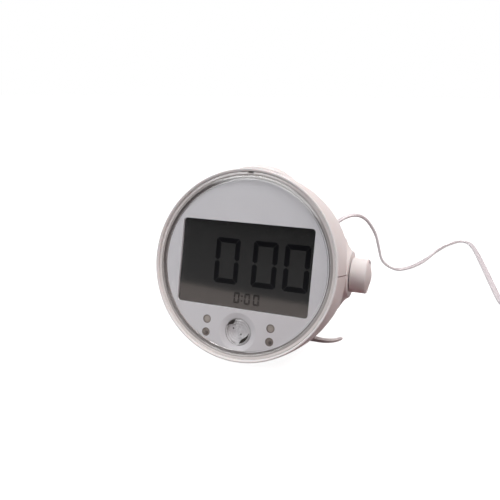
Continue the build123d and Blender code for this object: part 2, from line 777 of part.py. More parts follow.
with BuildPart() as snooze_board:
    with BuildSketch(SEAM.offset(SNOOZE_BOARD_V)):
        with Locations((0, SNOOZE_D)):
            Rectangle(SNOOZE_BOARD_L, SNOOZE_BOARD_W)
            with GridLocations(2 * SNOOZE_POST_U, 0, 2, 1):
                Circle(SCREW_R + SCREW_CLEAR, mode=Mode.SUBTRACT)
    extrude(amount=-BOARD_T)
write(snooze_board.part, "snooze_board")

with BuildPart() as snooze_screws:
    with BuildSketch(SEAM.offset(SNOOZE_BOARD_V - BOARD_T)):
        with Locations((0, SNOOZE_D)):
            with GridLocations(2 * SNOOZE_POST_U, 0, 2, 1):
                Circle(SCREW_R)
    extrude(amount=SCREW_L)
    with BuildSketch(SEAM.offset(SNOOZE_BOARD_V - BOARD_T)):
        with Locations((0, SNOOZE_D)):
            with GridLocations(2 * SNOOZE_POST_U, 0, 2, 1):
                Circle(SCREW_HEAD_R)
    extrude(amount=-SCREW_HEAD_T)
write(snooze_screws.part, "snooze_screws")

with BuildPart() as snooze_switch:
    with BuildSketch(SEAM.offset(SNOOZE_BOARD_V)):
        with Locations((0, SNOOZE_D)):
            Rectangle(TACT_W, TACT_W)
    extrude(amount=TACT_T)
    with BuildSketch(SEAM.offset(SNOOZE_BOARD_V + TACT_T)):
        with Locations((0, SNOOZE_D)):
            Circle(TACT_PLUNGER_R)
    extrude(amount=TACT_PLUNGER_T)
write(snooze_switch.part, "snooze_switch")

# Selector: switch body with its bush in the case, shaft, knob and push cap
with BuildPart() as selector_switch:
    with BuildSketch(across(SWITCH_U)):
        Rectangle(SWITCH_W, SWITCH_W)
    extrude(amount=-SWITCH_L)
    with BuildSketch(across(SWITCH_U)):
        Circle(BUSH_R)
    extrude(amount=BOSS_U - SWITCH_U)
    with BuildSketch(across(SWITCH_U - SWITCH_L / 2)):
        Circle(SHAFT_R + FIT)
    extrude(amount=BOSS_U - SWITCH_U + SWITCH_L / 2, mode=Mode.SUBTRACT)
write(selector_switch.part, "selector_switch")

with BuildPart() as selector_shaft:
    with BuildSketch(across(SWITCH_U - SWITCH_L / 2 + FIT)):
        Circle(SHAFT_R)
    extrude(amount=SHAFT_END_U - SWITCH_U + SWITCH_L / 2 - FIT)
write(selector_shaft.part, "selector_shaft")

with BuildPart() as function_knob:
    with BuildSketch(KNOB):
        with BuildLine():
            Polyline(
                (KNOB_U, SHAFT_R),
                (KNOB_U, KNOB_HUB_R),
                (SHAFT_END_U, KNOB_HUB_R),
                (SHAFT_END_U, KNOB_R - KNOB_WALL),
                (KNOB_U, KNOB_R - KNOB_WALL),
                (KNOB_U, KNOB_R),
                (KNOB_END_U - KNOB_EDGE, KNOB_R),
                (KNOB_END_U, KNOB_R - KNOB_EDGE),
                (KNOB_END_U, CAP_R + CAP_GAP),
                (CAP_FLOOR_U, CAP_R + CAP_GAP),
                (CAP_FLOOR_U, CAP_STEM_R + CAP_GAP),
                (SHAFT_END_U, CAP_STEM_R + CAP_GAP),
                (SHAFT_END_U, SHAFT_R),
                close=True,
            )
        make_face()
    revolve(axis=KNOB_AXIS)
write(function_knob.part, "function_knob")

with BuildPart() as knob_button:
    cap_back = KNOB_END_U - CAP_RIM_T
    with BuildSketch(KNOB):
        with BuildLine():
            cap_edge = (KNOB_END_U - CAP_SINK, CAP_R)
            cap_dome = TangentArc((KNOB_END_U + CAP_DOME, 0), cap_edge, tangent=(0, 1))
            Polyline(
                cap_dome @ 0,
                (cap_back - CAP_STEM_L, 0),
                (cap_back - CAP_STEM_L, CAP_STEM_R),
                (cap_back, CAP_STEM_R),
                (cap_back, CAP_R),
                cap_dome @ 1,
            )
        make_face()
    revolve(axis=KNOB_AXIS)
write(knob_button.part, "knob_button")

# Rear panel and what it carries
with BuildPart() as rear_panel:
    with BuildSketch(face(PANEL_IN)):
        Circle(PANEL_R)
    extrude(amount=-WALL)
    with BuildSketch(face(PANEL_IN)):
        Circle(PANEL_R + PANEL_FLANGE)
    extrude(amount=PANEL_FLANGE_T)
    with BuildSketch(face(PANEL_BACK)):
        with Locations(*BOARD_POSTS):
            Circle(BOARD_POST_R)
    extrude(amount=BOARD_GAP)
    with BuildSketch(face(BOARD_D)):
        with Locations(*BOARD_POSTS):
            Circle(SCREW_R)
    extrude(amount=BOARD_T - SCREW_L, mode=Mode.SUBTRACT)
    with BuildSketch(face(PANEL_BACK)):
        with Locations((-SOCKET_U, SOCKET_V)):
            Circle(INLET_R + SOCKET_GAP)
        with Locations((SOCKET_U, SOCKET_V)):
            Circle(JACK_R + SOCKET_GAP)
        with Locations((0, COIN_V)):
            Circle(COIN_DOOR_R + COIN_GAP)
        with Locations((-WHEEL_U, WHEEL_V), (WHEEL_U, WHEEL_V)):
            Rectangle(2 * (WHEEL_R + WHEEL_GAP), WHEEL_T + 2 * WHEEL_GAP)
    extrude(amount=-PANEL_FLANGE_T - WALL, mode=Mode.SUBTRACT)
write(rear_panel.part, "rear_panel")

with BuildPart() as main_board:
    with BuildSketch(face(BOARD_D)):
        with Locations((0, BOARD_V)):
            Rectangle(BOARD_W, BOARD_H)
        with Locations(*BOARD_POSTS):
            Circle(SCREW_R + SCREW_CLEAR, mode=Mode.SUBTRACT)
    extrude(amount=BOARD_T)
write(main_board.part, "main_board")

with BuildPart() as board_screws:
    with BuildSketch(face(BOARD_D - BOARD_T)):
        with Locations(*BOARD_POSTS):
            Circle(SCREW_R)
    extrude(amount=-SCREW_L)
    with BuildSketch(face(BOARD_D - BOARD_T)):
        with Locations(*BOARD_POSTS):
            Circle(SCREW_HEAD_R)
    extrude(amount=SCREW_HEAD_T)
write(board_screws.part, "board_screws")

with BuildPart() as dc_inlet:
    with BuildSketch(face(BOARD_D)):
        with Locations((-SOCKET_U, SOCKET_V)):
            Rectangle(INLET_BODY, INLET_BODY)
    extrude(amount=-BOARD_GAP)
    with BuildSketch(face(PANEL_BACK)):
        with Locations((-SOCKET_U, SOCKET_V)):
            Circle(INLET_R)
    extrude(amount=-PANEL_FLANGE_T - WALL)
    with BuildSketch(face(BODY_DEPTH)):
        with Locations((-SOCKET_U, SOCKET_V)):
            Circle(INLET_HOLE_R)
            Circle(INLET_PIN_R, mode=Mode.SUBTRACT)
    extrude(amount=INLET_DEPTH, mode=Mode.SUBTRACT)
write(dc_inlet.part, "dc_inlet")

with BuildPart() as shaker_jack:
    with BuildSketch(face(BOARD_D)):
        with Locations((SOCKET_U, SOCKET_V)):
            Rectangle(JACK_BODY, JACK_BODY)
    extrude(amount=-BOARD_GAP)
    with BuildSketch(face(PANEL_BACK)):
        with Locations((SOCKET_U, SOCKET_V)):
            Circle(JACK_R)
    extrude(amount=-PANEL_FLANGE_T - WALL)
    with BuildSketch(face(BODY_DEPTH)):
        with Locations((SOCKET_U, SOCKET_V)):
            Circle(PLUG_PIN_R + FIT)
    extrude(amount=JACK_DEPTH, mode=Mode.SUBTRACT)
write(shaker_jack.part, "shaker_jack")

with BuildPart() as volume_controls:
    pot_top = WHEEL_V - WHEEL_T / 2 - WHEEL_GAP
    for wheel_u in WHEELS.values():
        with BuildSketch(SEAM.offset(pot_top - POT_T)):
            with Locations((wheel_u, (BOARD_D + PANEL_BACK) / 2)):
                Rectangle(POT_W, BOARD_GAP)
        extrude(amount=POT_T)
        with BuildSketch(SEAM.offset(pot_top)):
            with Locations((wheel_u, WHEEL_D)):
                Circle(POT_SHAFT_R)
        extrude(amount=WHEEL_T + WHEEL_GAP)
write(volume_controls.part, "volume_controls")

for wheel_name, wheel_u in WHEELS.items():
    with BuildPart() as thumbwheel:
        with BuildSketch(SEAM.offset(WHEEL_V - WHEEL_T / 2)):
            with Locations((wheel_u, WHEEL_D)):
                Circle(WHEEL_R)
                Circle(POT_SHAFT_R + FIT, mode=Mode.SUBTRACT)
                with PolarLocations(WHEEL_R, WHEEL_NOTCHES):
                    Circle(WHEEL_NOTCH_R, mode=Mode.SUBTRACT)
        extrude(amount=WHEEL_T)
    write(thumbwheel.part, wheel_name)

with BuildPart() as coin_door:
    with BuildSketch(face(BODY_DEPTH)):
        with Locations((0, COIN_V)):
            Circle(COIN_DOOR_R)
    extrude(amount=COIN_DOOR_T)
    lug_front = PANEL_BACK - COIN_LUG_T - COIN_GAP
    with BuildSketch(face(lug_front)):
        with Locations((0, COIN_V)):
            Circle(COIN_DOOR_R)
            Circle(COIN_DOOR_R - WALL, mode=Mode.SUBTRACT)
    extrude(amount=lug_front - BODY_DEPTH + COIN_DOOR_T)
    with BuildSketch(face(lug_front)):
        with Locations((0, COIN_V)):
            Circle(COIN_LUG_R)
            Rectangle(2 * COIN_LUG_R, 2 * COIN_LUG_R - COIN_DOOR_R, mode=Mode.INTERSECT)
            Circle(COIN_DOOR_R - WALL, mode=Mode.SUBTRACT)
    extrude(amount=-COIN_LUG_T)
    with BuildSketch(face(BODY_DEPTH)):
        with Locations((0, COIN_V)):
            SlotOverall(COIN_SLOT_L, COIN_SLOT_W)
    extrude(amount=COIN_SLOT_T, mode=Mode.SUBTRACT)
write(coin_door.part, "coin_door")

cell_back = BODY_DEPTH - COIN_DOOR_T - COIN_GAP
with BuildPart() as coin_cell:
    with BuildSketch(face(cell_back)):
        with Locations((0, COIN_V)):
            Circle(CELL_R)
    extrude(amount=CELL_T)
write(coin_cell.part, "coin_cell")

with BuildPart() as coin_holder:
    with BuildSketch(face(BOARD_D)):
        with Locations((0, COIN_V)):
            Circle(CELL_R - FIT)
    extrude(amount=BOARD_D + CELL_T - cell_back)
    with BuildSketch(face(BOARD_D)):
        with Locations((0, COIN_V)):
            Circle(CELL_R - FIT - CELL_HOLDER_WALL)
    extrude(amount=(BOARD_D + CELL_T - cell_back) / 2, mode=Mode.SUBTRACT)
write(coin_holder.part, "coin_holder")

# Speaker, face down in its ring over the sound slots
with BuildPart() as speaker:
    with BuildSketch(TABLE.offset(FLOOR_Z)):
        with Locations((0, SPEAKER_Y)):
            Circle(SPEAKER_R)
            Circle(SPEAKER_R - SPEAKER_RIM, mode=Mode.SUBTRACT)
    extrude(amount=SPEAKER_T / 2)
    with BuildSketch(TABLE.offset(FLOOR_Z + SPEAKER_T / 2)):
        with Locations((0, SPEAKER_Y)):
            Circle(SPEAKER_R)
    with BuildSketch(TABLE.offset(FLOOR_Z + SPEAKER_T)):
        with Locations((0, SPEAKER_Y)):
            Circle(SPEAKER_MAGNET_R)
    loft()
write(speaker.part, "speaker")

with BuildPart() as speaker_cone:
    cone_foot = FLOOR_Z + SPEAKER_T / 2
    with BuildSketch(TABLE.offset(cone_foot)):
        with Locations((0, SPEAKER_Y)):
            Circle(SPEAKER_R - SPEAKER_RIM)
    extrude(amount=-CONE_T)
write(speaker_cone.part, "speaker_cone")

# Stand: stem and bow in one moulding, with screws and pads
with BuildPart() as stand_foot:
    with BuildSketch(TABLE):
        with Locations((0, (STEM_FRONT + STEM_REAR) / 2)):
            SlotOverall(STEM_REAR - STEM_FRONT, STEM_W, rotation=90)
        with BuildLine():
            front_edge = Line((0, BOW_Y), (BOW_STRAIGHT, BOW_Y))
            outer_sweep = TangentArc(front_edge @ 1, (BOW_TIP_X, BOW_TIP_Y), tangent=front_edge % 1)
            tip_inner = outer_sweep @ 1 - Vector(BOW_TIP_W, 0)
            ThreePointArc(
                outer_sweep @ 1,
                outer_sweep @ 1 + Vector(-BOW_TIP_W / 2, BOW_TIP_W / 2),
                tip_inner,
            )
            inner_root = Vector(BOW_STRAIGHT, BOW_Y + BOW_DEPTH)
            TangentArc(inner_root, tip_inner, tangent=(1, 0))
            Polyline(inner_root, (STEM_W / 2, BOW_Y + BOW_ROOT), (0, BOW_Y + BOW_ROOT), front_edge @ 0)
        make_face()
        mirror(about=Plane.YZ)
    extrude(amount=STAND_T)
    with BuildSketch(Plane.XZ):
        with BuildLine():
            Polyline(
                (BOW_TAPER_X, STAND_T),
                (BOW_SIDE_X, BOW_SIDE_T),
                (BOW_TIP_X, BOW_TIP_T),
                (BOW_TIP_X, STAND_T),
                close=True,
            )
        make_face()
        mirror(about=Plane.YZ)
    extrude(amount=-STEM_REAR, mode=Mode.SUBTRACT)
    with Locations(*[Plane(origin=(x, y, 0), z_dir=(0, 0, -1)) for x, y in STAND_SCREWS]):
        CounterSinkHole(
            STAND_SCREW_R + SCREW_CLEAR,
            STAND_HEAD_R + SCREW_CLEAR,
            counter_sink_angle=STAND_SINK_ANGLE,
        )
    with BuildSketch(TABLE):
        with Locations(*PADS):
            Circle(PAD_R)
    extrude(amount=PAD_T, mode=Mode.SUBTRACT)
write(stand_foot.part, "stand_foot")

with BuildPart() as stand_screws:
    with Locations(*STAND_SCREWS):
        Cone(STAND_HEAD_R, STAND_SCREW_R, STAND_HEAD_R - STAND_SCREW_R, align=UPWARD)
        Cylinder(STAND_SCREW_R, STAND_SCREW_L, align=UPWARD)
write(stand_screws.part, "stand_screws")

with BuildPart() as foot_pads:
    with Locations(*PADS):
        Cylinder(PAD_R, PAD_T, align=UPWARD)
write(foot_pads.part, "foot_pads")

# Lead: elbow plug in the jack, free stretch, coil with its tail, and a tie
PLUG_MIDDLE = FACE.from_local_coords((SOCKET_U, SOCKET_V, -BODY_DEPTH - PLUG_ELBOW))
LEAD_EXIT = (
    FACE.x_dir * math.cos(math.radians(PLUG_ANGLE)) + FACE.y_dir * math.sin(math.radians(PLUG_ANGLE))
)
LEAD_START = PLUG_MIDDLE + LEAD_EXIT * PLUG_BOOT_L

with BuildPart() as lead_plug:
    with BuildSketch(face(BODY_DEPTH)):
        with Locations((SOCKET_U, SOCKET_V)):
            Circle(PLUG_PIN_R)
    extrude(amount=PLUG_PIN_L)
    with BuildSketch(face(BODY_DEPTH)):
        with Locations((SOCKET_U, SOCKET_V)):
            Circle(PLUG_R)
    extrude(amount=-PLUG_L)
    fillet(lead_plug.edges().filter_by(GeomType.CIRCLE).sort_by(FACE_AXIS)[0], PLUG_EDGE)
    with BuildSketch(Plane(origin=PLUG_MIDDLE, z_dir=LEAD_EXIT)):
        Circle(PLUG_BOOT_R)
    with BuildSketch(Plane(origin=LEAD_START, z_dir=LEAD_EXIT)):
        Circle(BOOT_TIP_R)
    loft()
write(lead_plug.part, "lead_plug")

COIL_CENTRE = Vector(COIL_X, COIL_Y, COIL_Z)
COIL_START = COIL_CENTRE + Vector(-COIL_R, LEAD_D, 0)
LEAD_POINTS = [
    LEAD_START,
    *[Vector(point) for point in LEAD_ROUTE],
    COIL_START + Vector(0, COIL_LEAD_IN, 0),
    COIL_START,
]


def bend_radii(points):
    """Largest even radius of each bend, from the shorter run beside it and its turn."""
    radii = []
    for before, corner, after in zip(points, points[1:], points[2:]):
        run_in = corner - before
        run_out = after - corner
        half_turn = math.radians(run_in.get_angle(run_out)) / 2
        radii.append(ROUTE_SHARE * min(run_in.length, run_out.length) / math.tan(half_turn))
    return radii


LEAD_RADII = bend_radii(LEAD_POINTS)
print("lead radii", [round(radius, 1) for radius in LEAD_RADII])

with BuildPart() as shaker_lead:
    with BuildLine() as lead_path:
        FilletPolyline(*LEAD_POINTS, radius=LEAD_RADII)
    with BuildSketch(Plane(origin=LEAD_START, z_dir=LEAD_EXIT)):
        Circle(LEAD_D / 2)
    sweep()
lead_length = lead_path.wire().length
lead_volume = math.pi * LEAD_D**2 / 4 * lead_length
print("lead length", round(lead_length, 1), "volume share", shaker_lead.part.volume / lead_volume)
write(shaker_lead.part, "shaker_lead")

with BuildPart() as lead_coil:
    with BuildLine() as coil_path:
        reach = Vector(-COIL_R, 0, 0)
        heading = Vector(0, -1, 0)
        Line(COIL_START, COIL_CENTRE + reach)
        for half_turn in range(COIL_HALF_TURNS):
            inner_reach = -reach.normalized() * (reach.length - COIL_STEP)
            TangentArc(COIL_CENTRE + reach, COIL_CENTRE + inner_reach, tangent=heading)
            reach = inner_reach
            heading = -heading
        rise = Vector(0, 0, COIL_RISE)
        climb_middle = heading * math.hypot(reach.length, COIL_RISE / 2) + rise / 2
        TangentArc(COIL_CENTRE + reach, COIL_CENTRE + climb_middle, tangent=heading)
        TangentArc(COIL_CENTRE + climb_middle, COIL_CENTRE - reach + rise, tangent=rise - reach * 2)
        top_centre = COIL_CENTRE + rise
        reach = -reach
        heading = -heading
        for half_turn in range(COIL_HALF_TURNS - 1):
            outer_reach = -reach.normalized() * (reach.length + COIL_STEP)
            TangentArc(top_centre + reach, top_centre + outer_reach, tangent=heading)
            reach = outer_reach
            heading = -heading
        exit_reach = reach.rotate(Axis.Z, COIL_EXIT)
        tail_heading = heading.rotate(Axis.Z, COIL_EXIT)
        TangentArc(top_centre + reach, top_centre + exit_reach, tangent=heading)
        COIL_END = top_centre + exit_reach + tail_heading * COIL_TAIL
        Line(top_centre + exit_reach, COIL_END)
    with BuildSketch(Plane(origin=COIL_START, z_dir=(0, -1, 0))):
        Circle(LEAD_D / 2)
    sweep()
write(lead_coil.part, "lead_coil")


def least_gap(wire, spacing):
    """Smallest clear distance between stretches of a wound tube, measured on points."""
    count = int(wire.length / spacing)
    points = [wire @ (index / count) for index in range(count + 1)]
    apart = int(GAP_NEAR / spacing)
    gaps = [
        (points[later] - points[earlier]).length
        for earlier in range(count + 1)
        for later in range(earlier + apart, count + 1)
    ]
    return min(gaps) - LEAD_D


coil_wire = coil_path.wire()
coil_length = coil_wire.length
print("coil length", round(coil_length, 1), "least gap", round(least_gap(coil_wire, GAP_SPACING), 2))
print("whole lead", round(lead_length + coil_length, 1))

with BuildPart() as lead_tie:
    tie_inner = COIL_R - COIL_HALF_TURNS * COIL_STEP - LEAD_D / 2 - COIL_STEP
    tie_outer = COIL_R + LEAD_D / 2 + COIL_STEP
    tie_top = COIL_Z + COIL_RISE + LEAD_D / 2 + TIE_GAP + TIE_T
    tie_heading = Vector(1, 0, 0).rotate(Axis.Z, TIE_ANGLE)
    tie_plane = Plane(
        origin=Vector(COIL_X, COIL_Y, 0),
        x_dir=tie_heading,
        z_dir=tie_heading.rotate(Axis.Z, -90),
    )
    with BuildSketch(tie_plane):
        with Locations(((tie_inner + tie_outer) / 2, tie_top / 2)):
            RectangleRounded(tie_outer - tie_inner, tie_top, 2 * TIE_T)
            Rectangle(tie_outer - tie_inner - 2 * TIE_T, tie_top - 2 * TIE_T, mode=Mode.SUBTRACT)
    extrude(amount=TIE_W / 2, both=True)
write(lead_tie.part, "lead_tie")

# Bed shaker at the lead's end, its boot in line with the coil's tail
SHAKER_MIDDLE = COIL_END + tail_heading * (SHAKER_BOOT_L + SHAKER_R)
BOOT_Z = COIL_END.Z
SHAKER = Plane(origin=(SHAKER_MIDDLE.X, SHAKER_MIDDLE.Y, 0), x_dir=-tail_heading, z_dir=(0, 0, 1))
MOTOR = Plane(
    origin=SHAKER.from_local_coords((MOTOR_X, 0, SHAKER_SPLIT)),
    x_dir=(0, 0, 1),
    z_dir=SHAKER.y_dir,
)
BOOT = Plane(
    origin=SHAKER.from_local_coords((SHAKER_R - SHAKER_WALL, 0, BOOT_Z)),
    x_dir=(0, 0, 1),
    z_dir=SHAKER.x_dir,
)


def motor_at(along):
    """Plane square to the motor's axis."""
    return MOTOR.offset(along)


with BuildPart() as shaker_base:
    with BuildSketch(SHAKER):
        Circle(SHAKER_R)
    extrude(amount=SHAKER_SPLIT)
    fillet(shaker_base.edges().filter_by(GeomType.CIRCLE).sort_by(Axis.Z)[0], SHAKER_BASE_EDGE)
    with BuildSketch(SHAKER.offset(SHAKER_WALL)):
        Circle(SHAKER_R - SHAKER_WALL)
    extrude(amount=SHAKER_SPLIT - SHAKER_WALL, mode=Mode.SUBTRACT)
    with BuildSketch(SHAKER.offset(SHAKER_WALL / 2)):
        with PolarLocations(SHAKER_POST_RING, SHAKER_POSTS, start_angle=SHAKER_POST_ANGLE):
            Circle(SHAKER_POST_R)
    extrude(amount=SHAKER_SPLIT - SHAKER_WALL / 2)
    with BuildSketch(SHAKER.offset(SHAKER_WALL / 2)):
        with Locations((MOTOR_X, 0)):
            with GridLocations(0, MOTOR_L - 2 * CRADLE_T, 1, 2):
                Rectangle(CRADLE_W, CRADLE_T)
    extrude(amount=SHAKER_SPLIT - SHAKER_WALL)
    with BuildSketch(motor_at(-MOTOR_L / 2)):
        Circle(MOTOR_R)
    extrude(amount=MOTOR_L, mode=Mode.SUBTRACT)
    with BuildSketch(BOOT.offset(-SHAKER_WALL)):
        Circle(SHAKER_BOOT_R)
    extrude(amount=3 * SHAKER_WALL, mode=Mode.SUBTRACT)
    with BuildSketch(SHAKER):
        with PolarLocations(SHAKER_POST_RING, SHAKER_POSTS, start_angle=SHAKER_POST_ANGLE):
            Circle(SHAKER_SCREW_R + SCREW_CLEAR)
    extrude(amount=SHAKER_SPLIT, mode=Mode.SUBTRACT)
    with BuildSketch(SHAKER):
        with PolarLocations(SHAKER_POST_RING, SHAKER_POSTS, start_angle=SHAKER_POST_ANGLE):
            Circle(SHAKER_HEAD_R + SCREW_CLEAR)
    extrude(amount=SHAKER_SPLIT / 2, mode=Mode.SUBTRACT)
write(shaker_base.part, "shaker_base")

with BuildPart() as shaker_lid:
    with BuildSketch(SHAKER.offset(SHAKER_SPLIT)):
        Circle(SHAKER_R)
    extrude(amount=SHAKER_H - SHAKER_SPLIT)
    fillet(shaker_lid.edges().filter_by(GeomType.CIRCLE).sort_by(Axis.Z)[-1], SHAKER_TOP_EDGE)
    with BuildSketch(SHAKER.offset(SHAKER_SPLIT)):
        Circle(SHAKER_R - SHAKER_WALL)
    extrude(amount=SHAKER_H - SHAKER_SPLIT - SHAKER_TOP_EDGE / 2, mode=Mode.SUBTRACT)
    with BuildSketch(SHAKER.offset(SHAKER_SPLIT)):
        with PolarLocations(SHAKER_POST_RING, SHAKER_POSTS, start_angle=SHAKER_POST_ANGLE):
            Circle(SHAKER_POST_R)
    extrude(amount=SHAKER_H - SHAKER_SPLIT - SHAKER_TOP_EDGE / 2)
    with BuildSketch(SHAKER.offset(SHAKER_SPLIT)):
        with PolarLocations(SHAKER_POST_RING, SHAKER_POSTS, start_angle=SHAKER_POST_ANGLE):
            Circle(SHAKER_SCREW_R)
    extrude(amount=SHAKER_SCREW_L - SHAKER_SPLIT / 2, mode=Mode.SUBTRACT)
write(shaker_lid.part, "shaker_lid")

with BuildPart() as shaker_screws:
    with BuildSketch(SHAKER.offset(SHAKER_SPLIT / 2)):
        with PolarLocations(SHAKER_POST_RING, SHAKER_POSTS, start_angle=SHAKER_POST_ANGLE):
            Circle(SHAKER_SCREW_R)
    extrude(amount=SHAKER_SCREW_L)
    with BuildSketch(SHAKER.offset(SHAKER_SPLIT / 2)):
        with PolarLocations(SHAKER_POST_RING, SHAKER_POSTS, start_angle=SHAKER_POST_ANGLE):
            Circle(SHAKER_HEAD_R)
    extrude(amount=-SHAKER_HEAD_T)
write(shaker_screws.part, "shaker_screws")

with BuildPart() as shaker_boot:
    with BuildSketch(BOOT.offset(SHAKER_WALL + SHAKER_BOOT_L)):
        Circle(BOOT_TIP_R)
    with BuildSketch(BOOT.offset(SHAKER_WALL)):
        Circle(SHAKER_BOOT_R)
    loft()
    with BuildSketch(BOOT.offset(-SHAKER_WALL / 2)):
        Circle(SHAKER_BOOT_R - FIT)
    extrude(amount=3 * SHAKER_WALL / 2)
    with BuildSketch(BOOT.offset(-SHAKER_WALL / 2)):
        Circle(SHAKER_BOOT_FLANGE_R)
    extrude(amount=-SHAKER_BOOT_FLANGE_T)
write(shaker_boot.part, "shaker_boot")

with BuildPart() as shaker_motor:
    with BuildSketch(motor_at(-MOTOR_L / 2)):
        Circle(MOTOR_R)
    extrude(amount=MOTOR_L)
    with BuildSketch(motor_at(MOTOR_L / 2)):
        Circle(MOTOR_SHAFT_R)
    extrude(amount=MOTOR_SHAFT_L)
write(shaker_motor.part, "shaker_motor")

with BuildPart() as shaker_weight:
    with BuildSketch(motor_at(MOTOR_L / 2 + WEIGHT_GAP)):
        Circle(WEIGHT_R)
        with Locations((WEIGHT_R / 2 + 2 * MOTOR_SHAFT_R, 0)):
            Rectangle(WEIGHT_R, 2 * WEIGHT_R, mode=Mode.SUBTRACT)
        Circle(MOTOR_SHAFT_R + FIT, mode=Mode.SUBTRACT)
    extrude(amount=WEIGHT_L)
write(shaker_weight.part, "shaker_weight")
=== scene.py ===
"""Looks of a bed shaker alarm clock: finishes for its solids, and the pieces that show on them."""

import math

import bmesh
import bpy
import numpy as np
from mathutils import Matrix, Vector


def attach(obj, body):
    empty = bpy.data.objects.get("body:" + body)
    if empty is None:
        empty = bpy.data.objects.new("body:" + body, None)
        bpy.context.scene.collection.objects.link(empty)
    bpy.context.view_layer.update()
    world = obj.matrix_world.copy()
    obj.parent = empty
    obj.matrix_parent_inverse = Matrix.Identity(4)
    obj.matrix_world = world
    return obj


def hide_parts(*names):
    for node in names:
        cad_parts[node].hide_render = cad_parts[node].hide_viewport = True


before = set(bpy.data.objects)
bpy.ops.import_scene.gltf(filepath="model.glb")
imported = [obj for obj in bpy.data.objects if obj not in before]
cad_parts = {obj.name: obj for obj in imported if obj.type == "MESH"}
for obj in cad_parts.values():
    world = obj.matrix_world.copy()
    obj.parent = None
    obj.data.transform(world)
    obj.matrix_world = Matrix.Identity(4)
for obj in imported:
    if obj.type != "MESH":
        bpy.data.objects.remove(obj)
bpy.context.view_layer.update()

# Metres in a millimetre, and the distance in metres within which points are one
MM = 0.001
MERGE = 1e-7

# Lean of the face, and the height of its centre in millimetres
TILT = math.radians(15)
FACE_HEIGHT = 55.0

# Sizes on the face in millimetres: radii from its axis, depths behind its rim
COVER_R = 50.7
COVER_BACK = 3.15
FLANGE_BACK = 1.55
COVER_EDGE = 0.3
FLANGE_FRONT = 1.2
RAISED_R = 47.6
RAISED_FRONT = 0.1
BEVEL_INNER_R = 46.5
BEVEL_OUTER_R = 48.9
BEVEL_STRAIGHT = 0.55
BEVEL_STEPS = 17
PANE_SHARES = np.array([0, 0.6, 0.98, 0.998])
PANE_BACK = 1.5
HOLLOW_R = 46.4
SEAL_GAP = 0.2
SEAL_CLEARANCE = 0.05
EDGE_INSET = 0.35
EDGE_CLEARANCE = 0.02
GAP_SHADE_DROP = 0.3
NOTCH_HALF = 1.5
NOTCH_DEPTH = 0.7
NOTCH_SOFT = 0.3
BORE_R = 50.85
SEAL_STEP_R = 49.3
GLASS_FRONT = 4.6
FASCIA_FRONT = 3.2
FLASH_V = -36.5
FLASH_R = 7.3
PIPE_R = 2.1
PIPES = ((-18.6, -31.75), (18.6, -31.75), (-18.6, -38.95), (18.6, -38.95))
PLATE = 0.1

# Points round each turned piece
COVER_TURNS = 720
RING_TURNS = 360
LENS_TURNS = 144
WINDOW_TURNS = 48


def on_face(across, up, depth):
    """Points from face coordinates: across and up on the leaning face, depth behind its rim."""
    across, up, depth = np.broadcast_arrays(across, up, depth)
    back = depth * math.cos(TILT) + up * math.sin(TILT)
    height = FACE_HEIGHT + up * math.cos(TILT) - depth * math.sin(TILT)
    return np.stack([across, back, height], axis=-1) * MM


def linear(red, green, blue):
    """Scene colour of a screen colour given in 0 to 255."""
    share = np.array([red, green, blue]) / 255
    value = np.where(share <= 0.04045, share / 12.92, ((share + 0.055) / 1.055) ** 2.4)
    return (*value.tolist(), 1.0)


# Finishes
def new_finish(name):
    """Empty finish, with its nodes and the call that links them."""
    finish = bpy.data.materials.new(name)
    finish.use_nodes = True
    return finish, finish.node_tree.nodes, finish.node_tree.links.new


def calculation(nodes, operation, kind="ShaderNodeMath"):
    """Node that does one operation on numbers, or on vectors."""
    made = nodes.new(kind)
    made.operation = operation
    return made


def colour_mix(nodes, blend="MIX"):
    """Node that mixes two colours by a factor."""
    made = nodes.new("ShaderNodeMix")
    made.data_type = "RGBA"
    made.blend_type = blend
    return made


